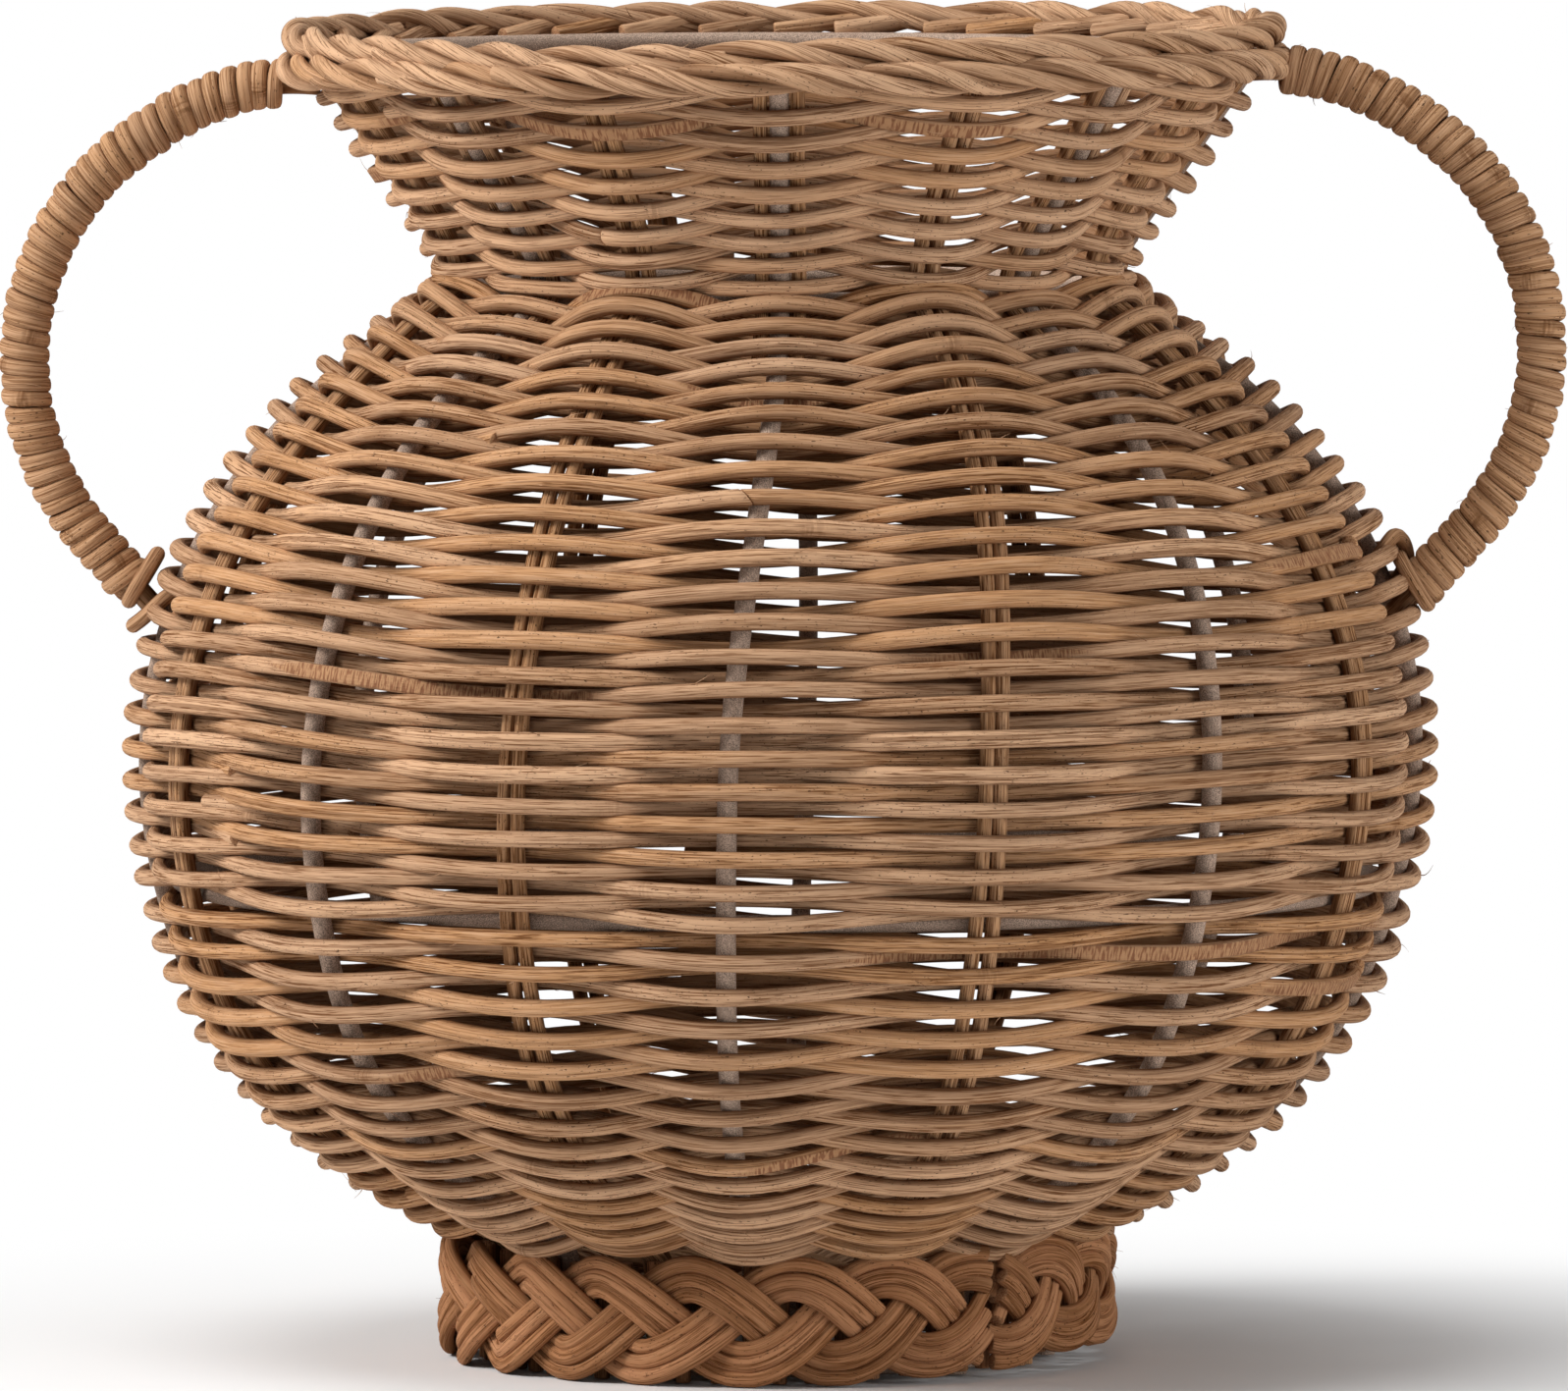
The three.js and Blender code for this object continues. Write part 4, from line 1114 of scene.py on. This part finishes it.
class VASE_OT_foot(Operator):
    """Upright canes of the foot and the three-strand plait round them"""

    bl_idname = "vase.foot"
    bl_label = "Plaited foot"

    STRANDS = 3
    CANES_IN_STRAND = 3
    STEPS = 60  # sections in one wave
    SPARE = 0.2  # radians by which a strand is plaited past the joint before it is cut
    SIDES, WALL_SIDES, WALL_STEPS = 16, 12, 12  # round a cane of the plait; round an upright cane and up it
    CLEAR = 0.6 * MM  # from the floor up to the lower ends of the upright canes
    TOP_SPREAD = (-0.9, 1.9)  # millimetres by which their upper ends are lower or higher
    ASIDE, LEAN = 0.12, 0.012  # share of their spacing by which they are off, and radians by which they lean
    WALL_WANDER = (0.3 * MM, 1.0)  # by which they wander out and in, and the share of a cane that it spans
    WALL_THICKNESS, THICKNESS = (0.93, 1.03), (0.92, 1.05)  # spread for uprights and strands, as shares
    PACKED, SQUASH = 0.93, 1.04  # share of a diameter between the canes of a strand, and their widening
    PHASE_SLACK = (0.16, 1.1)  # radians by which a strand lags or leads in its waves, and that it spans
    SWING, SWING_SLACK = 1.06, (0.05, 1.3)  # share of the full swing, how much it varies, and radians
    WANDER, RIPPLE = (0.35 * MM, 0.6), (0.45 * MM, 0.5)  # of a cane aside and out, and radians
    CROWN = 0.35 * MM  # by which the outer canes of a strand lie further in
    CUT_SPREAD = (-0.3, 0.5)  # share of the joint's gap by which a cane begins earlier or later
    LEAST_HEIGHT = 1.11  # least height of a strand above the floor, in radii of its canes
    FIBRES, FIBRE_ROOT = 10, 0.95  # loose fibres on a cane, and share of its radius at which they spring
    # Steps by which the foot is raised at the right: degrees from and to, and height
    LIFTS = ((-85, -55, 1.8 * MM), (-47, -30, 2.8 * MM), (30, 150, -4.6 * MM))

    def lift(self, angle):
        """By how much the foot is raised at an angle."""
        degrees = np.mod(np.degrees(angle) + 180, 360) - 180
        return sum(height * ease((degrees - low) / (high - low)) for low, high, height in self.LIFTS)

    def execute(self, context):
        vase = vase_of(context)
        foot, rng = vase.foot, np.random.default_rng(SEED + 6)
        low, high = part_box("foot_wall")
        thin = foot.cane_diameter / 2
        canes = Canes(rng, self.WALL_SIDES)
        t = np.linspace(0, 1, self.WALL_STEPS)
        for i in range(foot.cane_count):
            angle = (i + rng.uniform(-self.ASIDE, self.ASIDE)) * TAU / foot.cane_count
            angle = angle + rng.normal(0, self.LEAN) * t
            r = high.x - thin + waver(rng, t, *self.WALL_WANDER)
            z = low.z + self.CLEAR + (high.z + rng.uniform(*self.TOP_SPREAD) * MM - low.z) * t
            z = z + self.lift(angle) * (1 - t)
            size = thin * rng.uniform(*self.WALL_THICKNESS)
            canes.add(round_axis(r, angle, z), round_axis(1.0, angle, 0.0), size)
        canes.build("foot_wall", foot_rattan(vase), "rattan_foot")
        for strand in range(self.STRANDS):
            self.plait(vase, rng, high.x, strand)
        return {"FINISHED"}

    def plait(self, vase, rng, inner, strand):
        """One strand of the plait: canes side by side that pass over and under, cut off at the joint."""
        foot = vase.foot
        thin = foot.cane_diameter / 2
        middle = (foot.plait_top + foot.plait_bottom) / 2
        width = foot.cane_diameter * self.PACKED
        swing = (foot.plait_top - foot.plait_bottom) / 2 - width * self.CANES_IN_STRAND / 2
        ring = inner + foot.plait_depth + foot.plait_stand + thin
        joint = foot.joint_angle
        canes = Canes(rng, self.SIDES)
        turn = np.linspace(-self.SPARE, TAU + self.SPARE, foot.plait_waves * self.STEPS + 1)
        phase = turn * foot.plait_waves + strand * TAU / self.STRANDS
        phase = phase + waver(rng, turn, *self.PHASE_SLACK)
        z = middle + swing * (self.SWING + waver(rng, turn, *self.SWING_SLACK)) * np.sin(phase)
        centre = round_axis(ring - foot.plait_depth * np.sin(2 * phase), joint + turn, z)
        out = round_axis(1.0, joint + turn, 0.0)
        beside = unit(np.cross(out, np.gradient(centre, axis=0)))
        gap = foot.joint_gap / ring / 2
        for k in range(self.CANES_IN_STRAND):
            aside = k - (self.CANES_IN_STRAND - 1) / 2
            offset = aside * width + waver(rng, turn, *self.WANDER)
            crown = waver(rng, turn, *self.RIPPLE) - self.CROWN * abs(aside)
            path = centre + beside * offset[:, None] + out * crown[:, None]
            path[:, 2] = np.maximum(path[:, 2], self.LEAST_HEIGHT * thin) + self.lift(joint + turn)
            around = np.unwrap(np.arctan2(path[:, 1], path[:, 0])) - joint
            around = around - TAU * round((around[len(turn) // 2] - math.pi) / TAU)
            kept = (around > gap + rng.uniform(*self.CUT_SPREAD) * gap) & (around < TAU - gap)
            canes.add(path[kept], out[kept], thin * rng.uniform(*self.THICKNESS), squash=self.SQUASH)
            shown = np.flatnonzero(kept)
            add_fibres(canes, rng, self.FIBRES, shown, path, out, thin, self.FIBRE_ROOT)
        canes.build(f"foot_plait_strand_{strand + 1}", foot_rattan(vase), "rattan_foot")


class VASE_OT_base(Operator):
    """Woven base that closes the belly"""

    bl_idname = "vase.base"
    bl_label = "Woven base"

    SPOKES = 16
    SPOKE_RADIUS = 1.35 * MM
    CANE_RADIUS = 1.25 * MM
    PITCH = 2.6 * MM
    EYE = 11 * MM  # radius of the first round
    HUB, EDGE_GAP, LAST_GAP = 4 * MM, 0.6 * MM, 2 * MM  # start of the spokes; spokes and rounds to the edge
    SIDES, SPOKE_STEPS, STEPS = 10, 20, 8  # round a cane, along a spoke, and from one spoke to the next
    SPOKE_FIT, WAVE = 0.95, 0.9  # shares of a spoke's radius and of a round's full wave that are used
    SPOKE_KIND = (0.3, 0.8, 0.9)  # tone, warmth and wear

    def execute(self, context):
        vase = vase_of(context)
        rng = np.random.default_rng(SEED + 8)
        low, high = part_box("base_mat")
        canes = Canes(rng, self.SIDES)
        middle, edge = (low.z + high.z) / 2, high.x
        for i in range(self.SPOKES):
            angle = (i + 0.5) * TAU / self.SPOKES
            heading = np.array([math.cos(angle), math.sin(angle), 0])
            for side in (-1, 1):
                across = np.array([-heading[1], heading[0], 0]) * side * self.SPOKE_RADIUS
                reach = np.linspace(self.HUB, edge - self.EDGE_GAP, self.SPOKE_STEPS)[:, None]
                path = reach * heading + across + [0, 0, middle]
                canes.add(path, (0, 0, 1.0), self.SPOKE_RADIUS * self.SPOKE_FIT, kind=self.SPOKE_KIND)
        for strand in (0, 1):
            turns = (edge - self.EYE - self.LAST_GAP) / (2 * self.PITCH)
            place = np.linspace(0, turns * self.SPOKES, int(turns * self.SPOKES * self.STEPS))
            r = self.EYE + self.PITCH * (2 * place / self.SPOKES + strand)
            wave = np.cos(math.pi * (place + 0.5 + strand))
            z = middle + (self.SPOKE_RADIUS + self.CANE_RADIUS) * wave * self.WAVE
            canes.add(round_axis(r, place * TAU / self.SPOKES, z), (0, 0, 1.0), self.CANE_RADIUS)
        canes.build("base_mat", rattan(vase), "rattan_base")
        return {"FINISHED"}


class HandleLine:
    """Centreline of a handle in its own plane, with a side of 1 for the right one and -1 for the left."""

    ARC_STEPS, STRAIGHT_STEPS = 300, 60
    ROOT = 12 * MM  # by which the core runs on into the weave
    LEAD = 14 * MM  # by which it begins under the rim
    TOP_SPAN = 42 * MM  # length over which the top of the arc is raised
    TOP_RISE = {1: 1.8 * MM, -1: 2.3 * MM}
    # By how much the arc's centre lies further out and up, and its radius is larger, as each is bent by hand
    BENT = {1: (-1.3 * MM, -5.2 * MM, 4.0 * MM), -1: (-3.5 * MM, -9.7 * MM, 3.8 * MM)}

    def __init__(self, handle, side):
        low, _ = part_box("handle_core_right" if side > 0 else "handle_core_left")
        roll, _, half = node_ring(LOWER_ROLL)
        end = handle.arc_end
        landing = low.z + handle.core_diameter / 2 * abs(math.sin(end))
        out, up, wider = self.BENT[side]
        radius, centre = handle.radius + wider, (handle.centre_x + out, handle.centre_z + up)
        edge = math.acos(min(1, max(-1, (roll + half - centre[0]) / radius)))
        turn = np.linspace(edge + self.LEAD / radius, end, self.ARC_STEPS)
        arc = np.stack([np.cos(turn), np.sin(turn)], -1) * radius + centre
        heading = np.array([math.sin(end), -math.cos(end)])
        run = (arc[-1, 1] - landing) / -heading[1]
        straight = arc[-1] + heading * np.linspace(0, run + self.ROOT, self.STRAIGHT_STEPS)[1:, None]
        self.points = np.concatenate([arc, straight])
        steps = np.linalg.norm(np.diff(self.points, axis=0), axis=1)
        self.along = np.concatenate([[0], np.cumsum(steps)]) - self.LEAD
        self.points[:, 1] += self.TOP_RISE[side] * (1 - ease(self.along / self.TOP_SPAN))
        self.span = self.along[-1] - self.ROOT
        self.side = side

    def in_plane(self, along):
        """Places out from the axis and up, at lengths along the handle."""
        return np.stack([np.interp(along, self.along, self.points[:, k]) for k in (0, 1)], -1)

    def at(self, along):
        """Points of the centreline and the directions along it, out of its bend and across it."""
        along = np.atleast_1d(np.asarray(along, float))
        x, z = self.in_plane(along).T
        step = 0.5 * MM
        ahead_x, ahead_z = unit(self.in_plane(along + step) - self.in_plane(along - step)).T
        zero = np.zeros_like(x)
        point = np.stack([self.side * x, zero, z], -1)
        forward = np.stack([self.side * ahead_x, zero, ahead_z], -1)
        bend = np.stack([-self.side * ahead_z, zero, ahead_x], -1)
        return point, forward, bend, np.broadcast_to([0.0, 1.0, 0.0], point.shape)


class VASE_OT_handles(Operator):
    """Ear handles: a core wound with one cane and tied to the shoulder"""

    bl_idname = "vase.handles"
    bl_label = "Handles"

    STEPS, CORE_STEPS, RING_STEPS = 26, 120, 48  # sections of a turn, of the core and of the ring
    TOP_BARE = {"right": -4.0 * MM, "left": -5.8 * MM}  # rim's edge to the first turn; under the rim below 0
    FOOT_BARE = {"right": 1.5 * MM, "left": 0.0}  # from the foot of the core up to the last turn
    RING_UP = 6 * MM  # from the foot of the core up to the ring that ties it
    RING_CENTRE = (176.4 * MM, 216.4 * MM)  # middle of that ring, out from the axis and up
    KIND, CORE_KIND = (0.12, 0.45, 0.4), (0.3, 0.7, 0.9)  # tone, warmth and wear of the binding and the core
    PITCH_SLACK = (0.28 * MM, 2.5)  # by which turns lie closer or wider, and turns over which they do
    SWELL, RIPPLE = (0.035, 3.0), (0.02, 0.8)  # shares by which the binding's thickness varies, and turns
    LIFT = (0.25 * MM, 1.7)  # by which it stands off the core, and turns
    SEAT = 0.9  # share of its radius by which its middle lies off the core
    FIRST_TURN = 0.4  # radians at which it begins
    SQUASH, SQUARE = 1.08, 0.8  # widening of its section, and filling of its corners
    FIRST_SCAR, SCAR_SWELL = (0.5, 2), 0.05  # turns to the first leaf scar, and share that a scar is thicker
    SCAR_PITCH, SCAR_SPREAD, SCAR_HALF = 2.3, 0.7, 0.05  # turns: between leaf scars, off them, half a scar
    FIBRES, FIBRE_ROOT = 24, 0.9  # loose fibres on a binding, and share of its radius at which they spring
    STRAP_FIT = 0.97  # share of the binding's thickness that the tying cane has
    RING_HALF = (7.3 * MM, 6.8 * MM, 2.2 * MM)  # half the ring out of the bend, across it and along it
    # Canes that tie the foot into the weave, out from the axis, to the back and up, in millimetres
    STRAPS = {
        "left": (
            (172, 6, 210), (176, 6, 205.5), (178.8, 3, 203.2), (178.8, -2.5, 203.4), (175.5, -6, 206),
            (170, -7.5, 211), (164.5, -6, 214),
        ),
        "right": (
            (161.5, -4, 216), (165.2, -5.5, 221), (168.6, -5, 226.3), (171.2, -2, 229), (173.5, 1.5, 227),
            (174.5, 4, 222), (172, 5, 216.5),
        ),
    }

    def execute(self, context):
        vase = vase_of(context)
        for name, side in (("right", 1), ("left", -1)):
            rng = np.random.default_rng(SEED + 10 + side)
            line = HandleLine(vase.handle, side)
            self.core(vase, rng, line, name)
            self.binding(vase, rng, line, name)
            self.tie(vase, rng, line, name)
        return {"FINISHED"}

    def core(self, vase, rng, line, name):
        """The core, which begins under the rim and runs on into the weave."""
        canes = Canes(rng)
        point, _, bend, _ = line.at(np.linspace(-line.LEAD, line.span + line.ROOT, self.CORE_STEPS))
        canes.add(point, bend, vase.handle.core_diameter / 2, kind=self.CORE_KIND)
        canes.build(f"handle_core_{name}", rattan(vase), "rattan_binding")

    def binding(self, vase, rng, line, name):
        """One cane wound from the rim to the foot, its turns touching."""
        handle = vase.handle
        canes = Canes(rng)
        thin = handle.cane_diameter / 2
        first, last = self.TOP_BARE[name] + thin, line.span - self.FOOT_BARE[name]
        turns = int((last - first) / handle.pitch)
        count = turns * self.STEPS
        turn = np.linspace(0, turns, count)
        along = first + (last - first) * turn / turns + waver(rng, turn, *self.PITCH_SLACK)
        point, _, bend, across = line.at(along)
        spin = turn * TAU * line.side + self.FIRST_TURN
        away = bend * np.cos(spin)[:, None] + across * np.sin(spin)[:, None]
        size = thin * (1 + waver(rng, turn, *self.SWELL) + waver(rng, turn, *self.RIPPLE))
        reach = handle.core_diameter / 2 + size * self.SEAT + waver(rng, turn, *self.LIFT)
        path = point + away * reach[:, None]
        knots = np.zeros(count)
        for centre in np.arange(rng.uniform(*self.FIRST_SCAR), turns, self.SCAR_PITCH):
            off = turn - centre - rng.uniform(-self.SCAR_SPREAD, self.SCAR_SPREAD)
            knots = np.maximum(knots, np.exp(-((off / self.SCAR_HALF) ** 2)))
        canes.add(
            path, away, size * (1 + self.SCAR_SWELL * knots), kind=self.KIND, knots=knots,
            squash=self.SQUASH, square=self.SQUARE,
        )
        add_fibres(canes, rng, self.FIBRES, np.arange(count), path, away, size, self.FIBRE_ROOT)
        canes.build(f"handle_binding_{name}", rattan(vase), "rattan_binding")

    def tie(self, vase, rng, line, name):
        """A slanting ring round the end of the binding, and a cane that ties it into the weave."""
        canes = Canes(rng)
        thin = vase.handle.cane_diameter / 2
        _, forward, bend, across = line.at(line.span - self.RING_UP)
        point = np.array([line.side * self.RING_CENTRE[0], 0, self.RING_CENTRE[1]])
        turn = np.linspace(0, TAU, self.RING_STEPS, endpoint=False)[:, None]
        out_half, across_half, along_half = self.RING_HALF
        leaning = bend * out_half + forward * along_half
        away = leaning * np.cos(turn) + across * across_half * np.sin(turn)
        canes.add(point + away, away, thin, closed=True, kind=self.KIND)
        path = smooth_path(self.STRAPS[name]) * [line.side, 1, 1]
        middle, _, _, _ = line.at(line.span + self.RING_UP)
        canes.add(path, path - middle, thin * self.STRAP_FIT, kind=self.KIND)
        canes.build(f"handle_tie_{name}", rattan(vase), "rattan_binding")


# Stage


def area_light(name, place, target, size, watts):
    """A round soft light that faces a target."""
    data = bpy.data.lights.new(name, "AREA")
    data.shape, data.size, data.energy = "DISK", size, watts
    light = bpy.data.objects.new(name, data)
    light.location = place
    light.rotation_mode = "QUATERNION"
    light.rotation_quaternion = (Vector(target) - Vector(place)).to_track_quat("-Z", "Y")
    bpy.context.scene.collection.objects.link(light)


def background_rays(tree):
    """1 for rays that see the background itself or its reflection, 0 for rays that carry its light."""
    kinds = ("Is Camera Ray", "Is Glossy Ray", "Is Transmission Ray")
    camera, glossy, through = (add_node(tree, "ShaderNodeLightPath", None, out=kind) for kind in kinds)
    return camera.maths("MAXIMUM", camera.maths("MAXIMUM", camera, glossy), through)


class VASE_OT_stage(Operator):
    """Pale floor, soft studio light and the camera"""

    bl_idname = "vase.stage"
    bl_label = "Stage"

    FLOOR_SIZE, VIEW_END = 60, 200  # metres
    SENSOR = 36  # millimetres, as the camera has it
    LIGHTS = {  # place and size of each light, in metres
        "key": ((-2.9, -1.05, 2.2), 1.5),
        "fill": ((2.95, -1.15, 0.4), 2.0),
        "top": ((-0.6, -0.6, 3.0), 1.6),
    }

    def execute(self, context):
        vase = vase_of(context)
        stage = vase.stage
        self.floor(vase)
        self.sky(context.scene, stage)
        target = (0, 0, stage.aim_height)
        for name, (place, size) in self.LIGHTS.items():
            area_light(f"{name}_light", place, target, size, getattr(stage, name))
        self.camera(context.scene, stage)
        context.scene.view_settings.view_transform = "Standard"
        return {"FINISHED"}

    def floor(self, vase):
        """A pale floor that shows the shadow round the foot and is white further off."""
        half = self.FLOOR_SIZE / 2
        mesh = bpy.data.meshes.new("floor")
        corners = [(-half, -half, 0), (half, -half, 0), (half, half, 0), (-half, half, 0)]
        mesh.from_pydata(corners, [], [(0, 1, 2, 3)])
        floor = bpy.data.objects.new("floor", mesh)
        bpy.context.scene.collection.objects.link(floor)
        finish, tree = new_finish("pale_floor")
        place = add_node(tree, "ShaderNodeNewGeometry", None, out="Position")
        away = place.node("ShaderNodeVectorMath", {"operation": "LENGTH"}, out="Value", _0=place)
        white = ramp(away, vase.stage.shadow_near, vase.stage.shadow_far) * background_rays(tree)
        paint = add_node(
            tree, "ShaderNodeBsdfPrincipled", None,
            Base_Color=tuple(vase.colours.floor), Roughness=0.9, Specular_IOR_Level=0.1,
        )
        glow = add_node(tree, "ShaderNodeEmission", None, Color=(1, 1, 1), Strength=1.0)
        both = add_node(tree, "ShaderNodeMixShader", None, _0=white, _1=paint, _2=glow)
        add_node(tree, "ShaderNodeOutputMaterial", None, Surface=both)
        mesh.materials.append(finish)

    def sky(self, scene, stage):
        """Even light from all round, and a white background behind the vase."""
        world = bpy.data.worlds.new("studio")
        world.use_nodes = True
        tree = world.node_tree
        tree.nodes.clear()
        lit = add_node(tree, "ShaderNodeBackground", None, Color=(1, 1, 1), Strength=stage.sky)
        white = add_node(tree, "ShaderNodeBackground", None, Color=(1, 1, 1), Strength=1.0)
        both = add_node(tree, "ShaderNodeMixShader", None, _0=background_rays(tree), _1=lit, _2=white)
        add_node(tree, "ShaderNodeOutputWorld", None, Surface=both)
        scene.world = world

    def camera(self, scene, stage):
        """The camera, at the photograph's place."""
        data = bpy.data.cameras.new("camera")
        data.sensor_width = self.SENSOR
        aside = Vector((math.cos(stage.azimuth), math.sin(stage.azimuth), 0))
        aim = aside * stage.aim_side + Vector((0, 0, stage.aim_height))
        place = Vector((math.sin(stage.azimuth), -math.cos(stage.azimuth), 0)) * stage.distance
        place = place + aside * stage.aim_side + Vector((0, 0, stage.camera_height))
        data.lens = data.sensor_width * (place - aim).length / stage.field
        data.clip_end = self.VIEW_END
        camera = bpy.data.objects.new("camera", data)
        camera.location = place
        camera.rotation_mode = "QUATERNION"
        camera.rotation_quaternion = (aim - place).to_track_quat("-Z", "Y")
        scene.collection.objects.link(camera)
        scene.camera = camera


class RattanVase(PropertyGroup):
    """All settings of the vase."""

    outline: PointerProperty(type=VaseOutline)
    steel: PointerProperty(type=VaseFrame)
    weave: PointerProperty(type=VaseWeave)
    border: PointerProperty(type=VaseBorder)
    foot: PointerProperty(type=VaseFoot)
    handle: PointerProperty(type=VaseHandle)
    colours: PointerProperty(type=VaseColours)
    stage: PointerProperty(type=VaseStage)


PIECES = (
    VASE_OT_steel_frame, VASE_OT_stakes, VASE_OT_weavers, VASE_OT_border, VASE_OT_foot, VASE_OT_base,
    VASE_OT_handles, VASE_OT_stage,
)
GROUPS = (
    VaseOutline, VaseFrame, VaseWeave, VaseBorder, VaseFoot, VaseHandle, VaseColours, VaseStage, RattanVase,
)


class VASE_PT_panel(Panel):
    """Lists the pieces of the vase and their settings"""

    bl_idname = "VASE_PT_panel"
    bl_label = "Rattan vase"
    bl_space_type = "VIEW_3D"
    bl_region_type = "UI"
    bl_category = "Vase"

    def draw(self, context):
        for piece in PIECES:
            self.layout.operator(piece.bl_idname)
        vase = vase_of(context)
        for group in RattanVase.__annotations__:
            settings = getattr(vase, group)
            box = self.layout.box()
            box.label(text=group.capitalize())
            for name in settings.__annotations__:
                box.prop(settings, name)


CLASSES = (*GROUPS, *PIECES, VASE_PT_panel)


def register():
    for cls in CLASSES:
        bpy.utils.register_class(cls)
    bpy.types.Scene.rattan_vase = PointerProperty(type=RattanVase)


def unregister():
    del bpy.types.Scene.rattan_vase
    for cls in reversed(CLASSES):
        bpy.utils.unregister_class(cls)


def main():
    """Builds all pieces."""
    register()
    for piece in PIECES:
        group, name = piece.bl_idname.split(".")
        getattr(getattr(bpy.ops, group), name)()


if __name__ == "__main__":
    main()
